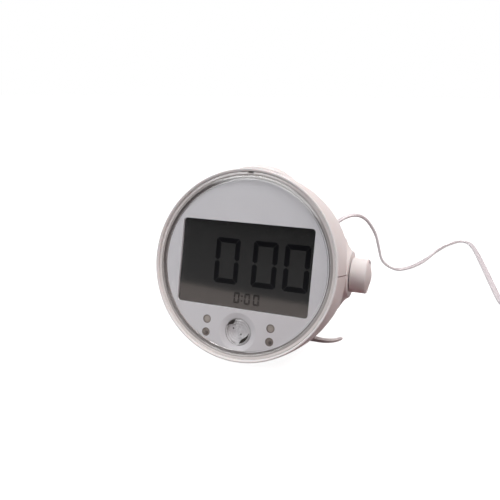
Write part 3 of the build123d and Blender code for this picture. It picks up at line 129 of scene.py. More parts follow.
def grain_group():
    """Moulded surface: colour with a faint mottle, uneven gloss and a fine relief."""
    group = bpy.data.node_groups.new("moulded_grain", "ShaderNodeTree")
    for label, kind, value in (
        ("Color", "NodeSocketColor", (0.8, 0.8, 0.8, 1)),
        ("Mottle", "NodeSocketFloat", 0.03),
        ("Gloss", "NodeSocketFloat", 0.35),
        ("Uneven", "NodeSocketFloat", 0.08),
        ("Grain", "NodeSocketFloat", 2500.0),
    ):
        socket = group.interface.new_socket(label, in_out="INPUT", socket_type=kind)
        socket.default_value = value
    for label, kind in (
        ("Color", "NodeSocketColor"),
        ("Roughness", "NodeSocketFloat"),
        ("Height", "NodeSocketFloat"),
    ):
        group.interface.new_socket(label, in_out="OUTPUT", socket_type=kind)
    nodes = group.nodes
    link = group.links.new
    into = nodes.new("NodeGroupInput")
    out = nodes.new("NodeGroupOutput")
    place = nodes.new("ShaderNodeTexCoord")
    cloud = nodes.new("ShaderNodeTexNoise")
    cloud.inputs["Scale"].default_value = 60
    cloud.inputs["Detail"].default_value = 4
    fine = nodes.new("ShaderNodeTexNoise")
    fine.inputs["Detail"].default_value = 2
    link(place.outputs["Object"], cloud.inputs["Vector"])
    link(place.outputs["Object"], fine.inputs["Vector"])
    link(into.outputs["Grain"], fine.inputs["Scale"])
    spread = calculation(nodes, "SUBTRACT")
    spread.inputs[1].default_value = 0.5
    link(cloud.outputs["Fac"], spread.inputs[0])
    shade = calculation(nodes, "MULTIPLY_ADD")
    shade.inputs[2].default_value = 1.0
    link(spread.outputs[0], shade.inputs[0])
    link(into.outputs["Mottle"], shade.inputs[1])
    tint = calculation(nodes, "SCALE", "ShaderNodeVectorMath")
    link(into.outputs["Color"], tint.inputs[0])
    link(shade.outputs[0], tint.inputs["Scale"])
    rough = calculation(nodes, "MULTIPLY_ADD")
    link(spread.outputs[0], rough.inputs[0])
    link(into.outputs["Uneven"], rough.inputs[1])
    link(into.outputs["Gloss"], rough.inputs[2])
    link(tint.outputs[0], out.inputs["Color"])
    link(rough.outputs[0], out.inputs["Roughness"])
    link(fine.outputs["Fac"], out.inputs["Height"])
    return group


GRAIN = grain_group()


def moulded(name, colour, gloss, mottle=0.03, uneven=0.08, grain=2500.0, relief=0.04, **sockets):
    """Finish with the moulded grain: colour on screen, roughness, and plain values for other sockets."""
    finish, nodes, link = new_finish(name)
    surface = nodes["Principled BSDF"]
    skin = nodes.new("ShaderNodeGroup")
    skin.node_tree = GRAIN
    skin.inputs["Color"].default_value = linear(*colour)
    skin.inputs["Mottle"].default_value = mottle
    skin.inputs["Gloss"].default_value = gloss
    skin.inputs["Uneven"].default_value = uneven
    skin.inputs["Grain"].default_value = grain
    bump = nodes.new("ShaderNodeBump")
    bump.inputs["Strength"].default_value = relief
    bump.inputs["Distance"].default_value = 0.0002
    link(skin.outputs["Color"], surface.inputs["Base Color"])
    link(skin.outputs["Roughness"], surface.inputs["Roughness"])
    link(skin.outputs["Height"], bump.inputs["Height"])
    link(bump.outputs["Normal"], surface.inputs["Normal"])
    for label, value in sockets.items():
        surface.inputs[label.replace("_", " ")].default_value = value
    return finish


def clear(name, colour, gloss, index=1.49):
    """Clear moulding: refracts for the eye, and lets lamps and bounced light pass straight through."""
    finish, nodes, link = new_finish(name)
    surface = nodes["Principled BSDF"]
    surface.inputs["Base Color"].default_value = linear(*colour)
    surface.inputs["Roughness"].default_value = gloss
    surface.inputs["IOR"].default_value = index
    surface.inputs["Transmission Weight"].default_value = 1.0
    path = nodes.new("ShaderNodeLightPath")
    through = calculation(nodes, "MAXIMUM")
    link(path.outputs["Is Shadow Ray"], through.inputs[0])
    link(path.outputs["Is Diffuse Ray"], through.inputs[1])
    passing = nodes.new("ShaderNodeBsdfTransparent")
    passing.inputs["Color"].default_value = linear(*colour)
    choice = nodes.new("ShaderNodeMixShader")
    link(through.outputs[0], choice.inputs[0])
    link(surface.outputs[0], choice.inputs[1])
    link(passing.outputs[0], choice.inputs[2])
    link(choice.outputs[0], nodes["Material Output"].inputs["Surface"])
    return finish


CASE = moulded(
    "case_white",
    (243, 239, 238),
    0.42,
    Specular_IOR_Level=0.02,
    Subsurface_Weight=0.08,
    Subsurface_Radius=(1.0, 0.4, 0.3),
    Subsurface_Scale=0.002,
)
STAND = moulded("stand_white", (248, 247, 247), 0.6, relief=0.02, Specular_IOR_Level=0.1)
FASCIA = moulded("fascia_silver", (229, 228, 232), 0.45, mottle=0.05, grain=6000.0, relief=0.03)
SEAL = moulded("seal_beige", (240, 234, 232), 0.5, grain=3000.0)
# Grey of painted shade: the shade that the cover's step casts on the seal beside it, painted all round
SEAL_SHADE = moulded("seal_painted_shade", (170, 163, 161), 0.5, grain=3000.0)
# Dark grey of painted shade under the cover's step
STEP_SHADE = moulded("painted_step_shade", (112, 105, 104), 0.5, grain=3000.0)
COVER = clear("cover_clear", (251, 251, 251), 0.015, 1.47)
GLASS = moulded(
    "display_glass",
    (45, 45, 45),
    0.06,
    mottle=0.02,
    uneven=0.01,
    relief=0.0,
    IOR=1.6,
    Specular_IOR_Level=1.0,
)
SEGMENT = moulded("display_segment", (8, 8, 13), 0.4, mottle=0.02, relief=0.0, Specular_IOR_Level=0.0)
FAINT = moulded(
    "display_faint",
    (36, 36, 37),
    0.06,
    mottle=0.02,
    relief=0.0,
    IOR=1.6,
    Specular_IOR_Level=0.8,
)
LENS = clear("flash_clear", (250, 250, 250), 0.03)
REFLECTOR = moulded("flash_reflector", (230, 229, 233), 0.42, mottle=0.25)
# Black of the painted dark reflections in the flash lens, and of its two specks
ARC = moulded("flash_black", (9, 9, 11), 0.6, mottle=0.1, relief=0.0, Specular_IOR_Level=0.0)
PIPE = moulded("window_grey", (178, 169, 161), 0.25, mottle=0.2, grain=1500.0, relief=0.8)
PIPE_DARK = moulded("window_dark", (132, 122, 115), 0.25, mottle=0.3, grain=1500.0, relief=0.9)
# Dark grey of painted shade in the groove round each indicator window
PIPE_RING_SHADE = moulded("window_ring_shade", (112, 102, 97), 0.4, mottle=0.3)
# Dark brown of the spots in the lower windows, and of painted shade in the cover's rim gap and pry notch
SPOT_AND_SHADE = moulded("window_spot_and_shade", (52, 43, 41), 0.4, mottle=0.3)
SEAM = moulded("seam_brown", (104, 80, 74), 0.6, mottle=0.1)
HOLDER = moulded("holder_grey", (168, 166, 168), 0.4, mottle=0.1)
BLACK = moulded("switch_black", (24, 24, 26), 0.5, grain=1800.0, relief=0.1)
INNER_WHITE = moulded("inner_white", (225, 225, 222), 0.5)
BOARD = moulded("board_green", (34, 92, 62), 0.35, mottle=0.2)
STEEL = moulded("zinc_steel", (178, 178, 182), 0.32, mottle=0.12, uneven=0.2, Metallic=1.0)
BRASS = moulded("weight_brass", (196, 160, 96), 0.3, mottle=0.1, uneven=0.15, Metallic=1.0)
RUBBER = moulded("pad_rubber", (84, 84, 86), 0.8, grain=1200.0, relief=0.2)
PAPER = moulded("cone_paper", (38, 36, 34), 0.9, mottle=0.3, grain=900.0, relief=0.4)
VINYL = moulded("lead_vinyl", (220, 213, 216), 0.36, mottle=0.02, grain=1600.0, relief=0.05)
STRAP = moulded("tie_strap", (30, 30, 32), 0.92, mottle=0.35, grain=2200.0, relief=0.8)

FINISHES = {
    CASE: (
        "upper_case",
        "lower_case",
        "snooze_button",
        "function_knob",
        "knob_button",
        "rear_panel",
        "coin_door",
        "shaker_base",
        "shaker_lid",
    ),
    STAND: ("stand_foot",),
    FASCIA: ("front_panel",),
    COVER: ("front_cover",),
    GLASS: ("lcd_glass",),
    LENS: ("flash_lens",),
    PIPE: ("light_pipes",),
    HOLDER: ("lens_holder",),
    BLACK: (
        "snooze_switch",
        "selector_switch",
        "dc_inlet",
        "shaker_jack",
        "volume_controls",
        "volume_wheel",
        "tone_wheel",
        "coin_holder",
    ),
    INNER_WHITE: ("lcd_frame", "backlight_plate", "flash_led", "indicator_leds", "selector_shaft"),
    BOARD: ("display_board", "snooze_board", "main_board"),
    STEEL: (
        "case_screws",
        "display_screws",
        "snooze_screws",
        "board_screws",
        "coin_cell",
        "speaker",
        "stand_screws",
        "shaker_screws",
        "shaker_motor",
    ),
    BRASS: ("shaker_weight",),
    RUBBER: ("contact_strips", "foot_pads"),
    PAPER: ("speaker_cone",),
    VINYL: ("lead_plug", "shaker_lead", "lead_coil", "shaker_boot"),
    STRAP: ("lead_tie",),
}
for finish, names in FINISHES.items():
    for node_name in names:
        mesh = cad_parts[node_name].data
        mesh.materials.clear()
        mesh.materials.append(finish)


# Meshes
SIDE_SHARE = 0.45


def grid_faces(rows, columns, wrap_rows=False, wrap_columns=False):
    """Quads between neighbouring points of a grid, joined round where it wraps."""
    row, column = np.meshgrid(
        np.arange(rows if wrap_rows else rows - 1),
        np.arange(columns if wrap_columns else columns - 1),
        indexing="ij",
    )
    below = (row + 1) % rows
    beside = (column + 1) % columns
    corners = (
        row * columns + column,
        below * columns + column,
        below * columns + beside,
        row * columns + beside,
    )
    return np.stack(corners, axis=-1).reshape(-1, 4)


def piece(name, points, faces, finish, body="clock", smooth=40):
    """Object of a mesh from points and faces, doubles merged and faces outward, in one finish."""
    mesh = bpy.data.meshes.new(name)
    mesh.from_pydata(points.reshape(-1, 3).tolist(), [], [list(face) for face in faces])
    work = bmesh.new()
    work.from_mesh(mesh)
    bmesh.ops.remove_doubles(work, verts=work.verts, dist=MERGE)
    bmesh.ops.recalc_face_normals(work, faces=work.faces)
    work.to_mesh(mesh)
    work.free()
    mesh.polygons.foreach_set("use_smooth", np.ones(len(mesh.polygons), bool))
    mesh.set_sharp_from_angle(angle=math.radians(smooth))
    mesh.materials.append(finish)
    thing = bpy.data.objects.new(name, mesh)
    bpy.context.scene.collection.objects.link(thing)
    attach(thing, body)
    return thing


def merged_copy(node_name, name, finish, body="clock", smooth=35):
    """Copy of a solid's mesh with its loose triangles joined, which stands for the solid."""
    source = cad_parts[node_name].data
    points = np.empty(len(source.vertices) * 3)
    source.vertices.foreach_get("co", points)
    source.calc_loop_triangles()
    corners = np.empty(len(source.loop_triangles) * 3, int)
    source.loop_triangles.foreach_get("vertices", corners)
    thing = piece(name, points, corners.reshape(-1, 3), finish, body, smooth)
    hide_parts(node_name)
    return thing


def turned(profile, centre, turns, reach=None):
    """Grid of a profile (radius, depth) turned about an axis square to the face at a centre."""
    angle = np.linspace(0, 2 * np.pi, turns, endpoint=False)
    radius = profile[:, :1] * np.ones_like(angle)
    if reach is not None:
        radius = reach(radius, angle)
    across = centre[0] + radius * np.cos(angle)
    up = centre[1] + radius * np.sin(angle)
    return on_face(across, up, profile[:, 1:])


def turned_piece(name, profile, centre, turns, finish, smooth=40, reach=None, closed=False):
    """Object of a turned profile, whose last point joins its first where it is closed."""
    faces = grid_faces(len(profile), turns, wrap_rows=closed, wrap_columns=True)
    return piece(name, turned(profile, centre, turns, reach), faces, finish, smooth=smooth)


def rounded(points, radius, steps=5):
    """Closed outline whose corners are drawn in by a quadratic curve towards their two sides."""
    corner = np.asarray(points, float)
    before = np.roll(corner, 1, axis=0) - corner
    after = np.roll(corner, -1, axis=0) - corner
    before_length = np.linalg.norm(before, axis=1, keepdims=True)
    after_length = np.linalg.norm(after, axis=1, keepdims=True)
    reach = np.minimum(radius, SIDE_SHARE * np.minimum(before_length, after_length))
    start = corner + before / before_length * reach
    end = corner + after / after_length * reach
    t = np.linspace(0, 1, steps)[None, :, None]
    curve = (1 - t) ** 2 * start[:, None] + 2 * t * (1 - t) * corner[:, None] + t**2 * end[:, None]
    return curve.reshape(-1, 2)


def plates(name, outlines, depth, thick, finish):
    """Thin flat plates on the face, one for each outline, from a depth towards the viewer."""
    points = []
    faces = []
    count = 0
    for outline in outlines:
        size = len(outline)
        points.append(on_face(outline[:, 0], outline[:, 1], depth - thick))
        points.append(on_face(outline[:, 0], outline[:, 1], depth))
        ring = np.arange(size) + count
        following = np.roll(ring, -1)
        faces.append(ring)
        faces.append(ring[::-1] + size)
        faces.extend(np.stack([ring, ring + size, following + size, following], axis=-1))
        count += 2 * size
    return piece(name, np.concatenate(points), faces, finish, smooth=20)


# Clear cover: raised window with a bevelled step, flange and pry notch, turned about the face axis
def rounded_edge(outer, front, radius, steps=5):
    """Quarter of a circle from a front out to a side: sine outwards, cosine back."""
    turn = np.linspace(0, np.pi / 2, steps)
    return np.column_stack([outer - radius * (1 - np.sin(turn)), front + radius * (1 - np.cos(turn))])


def cover_profile():
    """Half section: flat pane, bevel that falls away as a parabola, flange, then the hollow back."""
    flat = PANE_SHARES * BEVEL_INNER_R
    pane = np.column_stack([flat, np.full(len(flat), RAISED_FRONT)])
    share = np.linspace(0, 1, BEVEL_STEPS)
    fall = BEVEL_STRAIGHT * share + (1 - BEVEL_STRAIGHT) * share**2
    bevel = np.column_stack(
        [
            BEVEL_INNER_R + (BEVEL_OUTER_R - BEVEL_INNER_R) * share,
            RAISED_FRONT + (FLANGE_FRONT - RAISED_FRONT) * fall,
        ]
    )
    back = [
        (COVER_R, FLANGE_BACK),
        (RAISED_R + SEAL_GAP, FLANGE_BACK),
        (RAISED_R + SEAL_GAP, COVER_BACK),
        (HOLLOW_R, COVER_BACK),
        (HOLLOW_R, PANE_BACK),
        (0, PANE_BACK),
    ]
    return np.concatenate([pane, bevel, rounded_edge(COVER_R, FLANGE_FRONT, COVER_EDGE), back])


def notch(radius, angle):
    """Radius cut back where it meets the pry notch at the top."""
    from_top = np.abs(angle - np.pi / 2) * COVER_R
    cut = np.clip((NOTCH_HALF + NOTCH_SOFT / 2 - from_top) / NOTCH_SOFT, 0, 1)
    return np.minimum(radius, COVER_R - NOTCH_DEPTH * cut)


cover = turned_piece("clear_cover", cover_profile(), (0, 0), COVER_TURNS, COVER, smooth=30, reach=notch)
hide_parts("front_cover")


def flat_ring(name, inner, outer, front, back, finish):
    """Flat ring round the face axis, of a rectangular section."""
    section = np.array([(inner, front), (outer, front), (outer, back), (inner, back)])
    made = turned_piece(name, section, (0, 0), RING_TURNS, finish, closed=True)


seal_inner = RAISED_R + 2 * SEAL_GAP
seal_front = FLANGE_BACK + SEAL_CLEARANCE
edge_inner = HOLLOW_R + EDGE_INSET
edge_front = COVER_BACK + EDGE_CLEARANCE
flat_ring("cover_seal", SEAL_STEP_R, COVER_R, seal_front, FASCIA_FRONT, SEAL)
# Grey ring beside the step: painted shade of the cover's step
flat_ring("seal_shade_ring", seal_inner, SEAL_STEP_R, seal_front, FASCIA_FRONT, SEAL_SHADE)
# Dark ring under the step: painted shade of the step's wall
flat_ring("painted_step_shade", edge_inner, seal_inner, edge_front, FASCIA_FRONT, STEP_SHADE)
# Dark ring in the gap between the cover's rim and the case: painted shade
flat_ring("gap_painted_shade", COVER_R, BORE_R, seal_front + GAP_SHADE_DROP, FASCIA_FRONT, SPOT_AND_SHADE)
# Dark plate at the bottom of the pry notch: painted shade
notch_u = np.array([-NOTCH_HALF, NOTCH_HALF, NOTCH_HALF, -NOTCH_HALF])
notch_v = COVER_R - NOTCH_DEPTH * np.array([1, 1, 0, 0])
notch_outline = np.column_stack([notch_u, notch_v])
plates("notch_painted_shade", [notch_outline], FLANGE_BACK, PLATE, SPOT_AND_SHADE)


# Display: plain figures in seven segments, in millimetres on the face, and shares of a segment's thickness
SEGMENT_POINT = 0.35
SEGMENT_CUT = 0.4
SEGMENT_ROUND = 0.14
BIG_SPANS = ((-17.4, -3.3), (4.5, 18.5), (22.3, 36.4))
BIG_SIZES = {"bottom": -11.0, "top": 14.1, "middle": 1.55, "thick": 2.75, "gap": 0.17}
SMALL_SPANS = ((-4.5, -1.1), (1.6, 5.0), (6.8, 10.4))
SMALL_SIZES = {"bottom": -21.1, "top": -15.1, "middle": -18.1, "thick": 0.95, "gap": 0.08}
SMALL_DOTS = ((0.3, -16.8), (0.3, -19.4))
SMALL_DOT_R = 0.5
BELL_SIDE = np.array([(1.7, -0.9), (1.15, -0.2), (0.95, 1.0), (0.45, 1.55)])
BELL_PLACE = (27.2, 18.6)
CLAPPER = (27.2, 17.3)
CLAPPER_R = 0.4
BIG_DOTS = ((0.6, 6.2), (0.6, -3.2))
BIG_DOT_R = 0.9
FIGURE_FILM = 0.06
FAINT_FILM = 0.05


def figure(left, right, bottom, top, middle, thick, gap):
    """Outlines of a nought's six lit segments: mitred, cut off at the corners and pointed at mid height."""
    point = thick * SEGMENT_POINT
    half = thick / 2
    cut = thick * SEGMENT_CUT
    top_bar = [
        (left + gap + cut, top),
        (right - gap - cut, top),
        (right - gap - cut / 2, top - cut / 2),
        (right - thick - gap, top - thick),
        (left + thick + gap, top - thick),
        (left + gap + cut / 2, top - cut / 2),
    ]
    low_bar = [
        (left + thick + gap, bottom + thick),
        (right - thick - gap, bottom + thick),
        (right - gap - cut / 2, bottom + cut / 2),
        (right - gap - cut, bottom),
        (left + gap + cut, bottom),
        (left + gap + cut / 2, bottom + cut / 2),
    ]
    bars = [top_bar, low_bar]
    for outer, inner, mid in ((left, left + thick, left + half), (right, right - thick, right - half)):
        inset = outer + math.copysign(cut / 2, inner - outer)
        bars.append(
            [
                (outer, top - gap - cut),
                (inset, top - gap - cut / 2),
                (inner, top - thick - gap),
                (inner, middle + gap + point),
                (mid, middle + gap),
                (outer, middle + gap + point),
            ]
        )
        bars.append(
            [
                (outer, middle - gap - point),
                (mid, middle - gap),
                (inner, middle - gap - point),
                (inner, bottom + thick + gap),
                (inset, bottom + gap + cut / 2),
                (outer, bottom + gap + cut),
            ]
        )
    return [rounded(bar, thick * SEGMENT_ROUND) for bar in bars]


def disc(across, up, radius, steps=20):
    """Round outline."""
    angle = np.linspace(0, 2 * np.pi, steps, endpoint=False)
    return np.column_stack([across + radius * np.cos(angle), up + radius * np.sin(angle)])


big_bars = [bar for left, right in BIG_SPANS for bar in figure(left, right, **BIG_SIZES)]
plates("time_figures", big_bars, GLASS_FRONT, FIGURE_FILM, SEGMENT)
small_bars = [bar for left, right in SMALL_SPANS for bar in figure(left, right, **SMALL_SIZES)]
small_bars += [disc(*place, SMALL_DOT_R) for place in SMALL_DOTS]
plates("alarm_figures", small_bars, GLASS_FRONT, FIGURE_FILM, SEGMENT)
bell = np.concatenate([BELL_SIDE, BELL_SIDE[::-1] * (-1, 1)])
bell_bars = [rounded(bell + BELL_PLACE, CLAPPER_R), disc(*CLAPPER, CLAPPER_R)]
colon_bars = [disc(*place, BIG_DOT_R) for place in BIG_DOTS]
plates("faint_signs", bell_bars + colon_bars, GLASS_FRONT, FAINT_FILM, FAINT)

# Flash: ringed reflector bowl under a clear ribbed lens, with two black arcs on the lens as painted dark
# reflections, and two dark specks on the lens
FLASH_PLACE = (0, FLASH_V)
BOWL_R = FLASH_R - 0.1
BOWL_FRONT = 4.75
BOWL_DEPTH = 1.5
BOWL_RING_HEIGHT = 0.16
BOWL_RINGS = 5.0
BOWL_EDGE = 5.4
BOWL_STEPS = 40
LENS_R = FLASH_R - 0.05
LENS_FRONT = 3.25
LENS_FALL = 0.6
LENS_RING_HEIGHT = 0.07
LENS_RINGS = 4.6
LENS_BACK = 4.3
LENS_STEPS = 48
ARC_R = FLASH_R - 0.45
ARC_HALF_THICK = 0.1
ARC_STEPS = 24
ARC_POWER = 0.8
SPECKS = ((-2.4, 1.9, 0.42), (2.2, -0.9, 0.46))
SPECK_DEPTH = 3.35

bowl_r = np.linspace(BOWL_R, 0, BOWL_STEPS)
bowl_hollow = BOWL_DEPTH * (1 - (bowl_r / FLASH_R) ** 2)
bowl_depth = BOWL_FRONT + bowl_hollow + BOWL_RING_HEIGHT * np.cos(bowl_r * BOWL_RINGS)
bowl_profile = np.concatenate([[(BOWL_R, BOWL_EDGE)], np.column_stack([bowl_r, bowl_depth])])
bowl = turned_piece("flash_bowl", bowl_profile, FLASH_PLACE, LENS_TURNS, REFLECTOR, smooth=60)


def lens_depth(radius):
    """Depth of the lens's front: falls away with the square of the radius, with fine rings as a cosine."""
    rings = LENS_RING_HEIGHT * np.cos(radius * LENS_RINGS)
    return LENS_FRONT + LENS_FALL * (radius / FLASH_R) ** 2 + rings


dome_r = np.linspace(0, LENS_R, LENS_STEPS)
dome_front = np.column_stack([dome_r, lens_depth(dome_r)])
dome_profile = np.concatenate([dome_front, [(LENS_R, LENS_BACK), (0, LENS_BACK)]])
dome = turned_piece("flash_dome", dome_profile, FLASH_PLACE, LENS_TURNS, LENS, smooth=50)
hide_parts("flash_lens")


def crescent(first, last, thick, lean, across, up):
    """Thin black patch on the lens, a painted dark reflection: an arc round a centre (across, up) and one
    that a power of a sine draws in.

    The angles run from first to last in degrees. The lean, a power of the share along the arc, carries the
    thickest place towards the last one.
    """
    share = np.linspace(0, 1, ARC_STEPS)[:, None]
    angle = np.radians(first + (last - first) * share)
    drawn = thick * np.sin(np.pi * share**lean) ** ARC_POWER
    radius = ARC_R - drawn * np.array([1, 0.5, 0, 0, 0.5, 1])
    right = across + radius * np.cos(angle)
    above = up + radius * np.sin(angle)
    depth = lens_depth(np.hypot(right, above)) + ARC_HALF_THICK * np.array([-1, -1, -1, 1, 1, 1])
    return on_face(right, FLASH_V + above, depth)


arcs = np.stack(
    [
        crescent(first=164, last=104, thick=2.0, lean=1.7, across=-0.25, up=0.2),
        crescent(first=0, last=-76, thick=1.7, lean=1.5, across=-0.35, up=0.4),
    ]
)
arc_columns = arcs.shape[2]
arc_faces = grid_faces(ARC_STEPS, arc_columns, wrap_columns=True)
both_faces = np.concatenate([arc_faces, arc_faces + ARC_STEPS * arc_columns])
# Black arcs on the lens: painted dark reflections
arcs_made = piece("flash_painted_reflections", arcs, both_faces, ARC)
marks = [disc(across, FLASH_V + up, radius) for across, up, radius in SPECKS]
plates("flash_marks", marks, SPECK_DEPTH, PLATE, ARC)


# Indicator windows: shallow domes with a drawn-in edge, each in a dark ring of painted shade in the groove
# at its rim, the lower two with a dark spot
WINDOW_SET_BACK = 0.12
WINDOW_FALL = 0.25
WINDOW_BACK = 6.0
WINDOW_STEPS = 14
GROOVE_R = 1.75
GROOVE_W = 0.35
GROOVE_DEPTH = 0.5
RING_INSIDE = 0.2
RING_OUTSIDE = 0.22
RING_LIFT = 0.04
RING_DROP = 0.3
SPOT_SHIFT = 0.4
SPOT_R = 0.95
SPOT_DEPTH = 0.17


def window(name, centre, finish):
    """Small lens: falls away with the square of the radius, then straight down into a groove at its rim."""
    radius = np.linspace(0, PIPE_R, WINDOW_STEPS)
    fall = WINDOW_FALL * (radius / PIPE_R) ** 2
    groove = GROOVE_DEPTH * np.clip((radius - GROOVE_R) / GROOVE_W, 0, 1)
    front = np.column_stack([radius, FASCIA_FRONT + WINDOW_SET_BACK + fall + groove])
    section = np.concatenate([front, [(PIPE_R, WINDOW_BACK), (0, WINDOW_BACK)]])
    made = turned_piece(name, section, centre, WINDOW_TURNS, finish)
    return made


ring_section = np.column_stack(
    [
        PIPE_R + np.array([-RING_INSIDE, RING_OUTSIDE, RING_OUTSIDE, -RING_INSIDE]),
        FASCIA_FRONT + np.array([-RING_LIFT, -RING_LIFT, RING_DROP, RING_DROP]),
    ]
)
for index, centre in enumerate(PIPES):
    made = window(f"window_{index + 1}", centre, PIPE if index < 2 else PIPE_DARK)
    if index == 0:
        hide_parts("light_pipes")
    ring_name = f"window_ring_shade_{index + 1}"
    # Dark ring at the window's rim: painted shade of the groove
    ring = turned_piece(ring_name, ring_section, centre, WINDOW_TURNS, PIPE_RING_SHADE, closed=True)
spots = [disc(across + SPOT_SHIFT, up - SPOT_SHIFT, SPOT_R) for across, up in PIPES[2:]]
plates("window_spots", spots, FASCIA_FRONT + SPOT_DEPTH, PLATE, SPOT_AND_SHADE)

# Seam: a dark line in the groove between the case's halves, on the case's outer line in its middle plane
# Points are radius and depth, spans are a side of the case and a first and last depth, in millimetres
RIM_POINT = np.array([52.3, 0.0])
BELLY_POINT = np.array([53.0, 14.0])
SHOULDER_POINT = np.array([51.6, 35.0])
REAR_POINT = np.array([37.5, 66.0])
SEAM_SPANS = ((1, 0.6, 20.5), (1, 44.0, 62.5), (-1, 0.6, 62.5))
SEAM_PROUD = 0.03
SEAM_DEEP = 0.5
SEAM_BELOW = 0.1
SEAM_ABOVE = 0.4
LINE_STEPS = 90


def arc_points(centre, start, end, steps):
    """Points of a circle round a centre, at even angles from a start to an end."""
    first = math.atan2(*(start - centre)[::-1])
    last = math.atan2(*(end - centre)[::-1])
    angle = np.linspace(first, last, steps)
    size = np.linalg.norm(start - centre)
    return centre + size * np.column_stack([np.cos(angle), np.sin(angle)])


def case_line():
    """Radius and depth of the case: a circle through three points, then one that leaves it smoothly."""
    chords = np.array([BELLY_POINT - RIM_POINT, SHOULDER_POINT - RIM_POINT])
    squares = [point @ point - RIM_POINT @ RIM_POINT for point in (BELLY_POINT, SHOULDER_POINT)]
    belly_centre = np.linalg.solve(2 * chords, squares)
    inwards = (belly_centre - SHOULDER_POINT) / np.linalg.norm(belly_centre - SHOULDER_POINT)
    gap = REAR_POINT - SHOULDER_POINT
    rear_centre = SHOULDER_POINT + inwards * (gap @ gap) / (2 * inwards @ gap)
    belly = arc_points(belly_centre, RIM_POINT, SHOULDER_POINT, LINE_STEPS)
    rear = arc_points(rear_centre, SHOULDER_POINT, REAR_POINT, LINE_STEPS)
    return np.concatenate([belly, rear[1:]])


outer_line = case_line()
seam_across = np.array([SEAM_PROUD, SEAM_PROUD, -SEAM_DEEP, -SEAM_DEEP])
seam_up = np.array([-SEAM_BELOW, SEAM_ABOVE, SEAM_ABOVE, -SEAM_BELOW])
seam_ends = np.arange(len(seam_up))
for index, (hand, first, last) in enumerate(SEAM_SPANS):
    run = outer_line[(outer_line[:, 1] > first) & (outer_line[:, 1] < last)]
    seam_grid = on_face(hand * (run[:, :1] + seam_across), seam_up, run[:, 1:])
    seam_sides = grid_faces(len(run), len(seam_ends), wrap_columns=True)
    seam_faces = [*seam_sides, seam_ends, seam_ends + len(seam_ends) * (len(run) - 1)]
    piece(f"seam_line_{index + 1}", seam_grid, seam_faces, SEAM)

# Stand: the solid's own shape with soft edges
STAND_EDGE = 0.9
STAND_SHARP = 50
foot = merged_copy("stand_foot", "stand_soft", STAND, smooth=STAND_SHARP)
soften = foot.modifiers.new("soft_edges", "BEVEL")
soften.width = STAND_EDGE * MM
soften.segments = 3
soften.limit_method = "ANGLE"
soften.angle_limit = math.radians(STAND_SHARP)

# Lead of the bed shaker: route and coil in millimetres, as in the solids
LEAD_ROUTE = [
    (25.642, 72.853, 55.657),
    (31.4, 74.6, 62.3),
    (41.0, 82.5, 69.0),
    (49.0, 93.0, 66.0),
    (53.8, 106.5, 54.0),
    (54.2, 122.0, 43.8),
    (54.1, 140.0, 29.5),
    (54.2, 156.0, 17.8),
    (57.2, 172.0, 8.6),
    (61.5, 187.0, 1.5),
    (68.0, 190.5, 1.5),
    (73.5, 198.5, 1.5),
    (79.5, 212.0, 1.5),
    (86.3, 235.5, 1.5),
    (93.4, 260.5, 1.5),
    (101.5, 284.0, 1.5),
    (109.5, 299.0, 1.5),
    (118.8, 296.5, 1.5),
    (124.2, 270.0, 1.5),
    (128.4, 236.0, 1.5),
    (132.8, 200.0, 1.5),
    (136.8, 165.0, 1.5),
    (139.9, 140.0, 1.5),
    (144.6, 126.0, 1.9),
    (147.5, 117.0, 2.4),
]
COIL_MIDDLE = (184.0, 108.0)
COIL_R = 36.5
COIL_Z = 2.4
COIL_STEP = 2.65
COIL_RISE = 3.8
COIL_HALF_TURNS = 9
COIL_EXIT = 30
COIL_TAIL = 24.0
COIL_SWELL = 1.006
COIL_POINTS = 8
LEAD_HALF_WIDTH = 2.2
LEAD_HALF_THICK = 1.0
LEAD_CORNER = 1.13
WIDE_POWER = 0.8
THICK_POWER = 0.7
TWIN_GROOVE = 0.32
TWIN_GROOVE_HALF = 0.45
TWIN_STEPS = 28


def coil_points():
    """Spiral inwards on the table, half a turn up, spiral outwards, then the straight tail."""
    half_turns = 2 * COIL_HALF_TURNS + COIL_EXIT / 180
    turn = np.arange(0, half_turns + 0.01, 1 / COIL_POINTS)
    inwards = COIL_R - COIL_STEP * np.minimum(turn, COIL_HALF_TURNS)
    outwards = COIL_STEP * np.clip(turn - COIL_HALF_TURNS - 1, 0, COIL_HALF_TURNS - 1)
    radius = (inwards + outwards) * COIL_SWELL
    angle = np.pi + np.pi * turn
    climb = np.clip(turn - COIL_HALF_TURNS, 0, 1)
    points = np.column_stack(
        [
            COIL_MIDDLE[0] + radius * np.cos(angle),
            COIL_MIDDLE[1] + radius * np.sin(angle),
            COIL_Z + COIL_RISE * climb * climb * (3 - 2 * climb),
        ]
    )
    heading = np.array([-np.sin(angle[-1]), np.cos(angle[-1]), 0])
    tail = points[-1] + heading * np.linspace(COIL_TAIL / 4, COIL_TAIL, 4)[:, None]
    return np.concatenate([points, tail])


def smooth_line(points):
    """Points along the smooth curve that a route's points steer."""
    curve = bpy.data.curves.new("lead_guide", "CURVE")
    curve.dimensions = "3D"
    curve.resolution_u = 6
    spline = curve.splines.new("NURBS")
    spline.points.add(len(points) - 1)
    spline.points.foreach_set("co", np.column_stack([points, np.ones(len(points))]).ravel())
    spline.order_u = 3
    spline.use_endpoint_u = True
    guide = bpy.data.objects.new("lead_guide", curve)
    drawn = bpy.data.meshes.new_from_object(guide)
    line = np.empty(len(drawn.vertices) * 3)
    drawn.vertices.foreach_get("co", line)
    bpy.data.objects.remove(guide)
    bpy.data.curves.remove(curve)
    bpy.data.meshes.remove(drawn)
    return line.reshape(-1, 3)


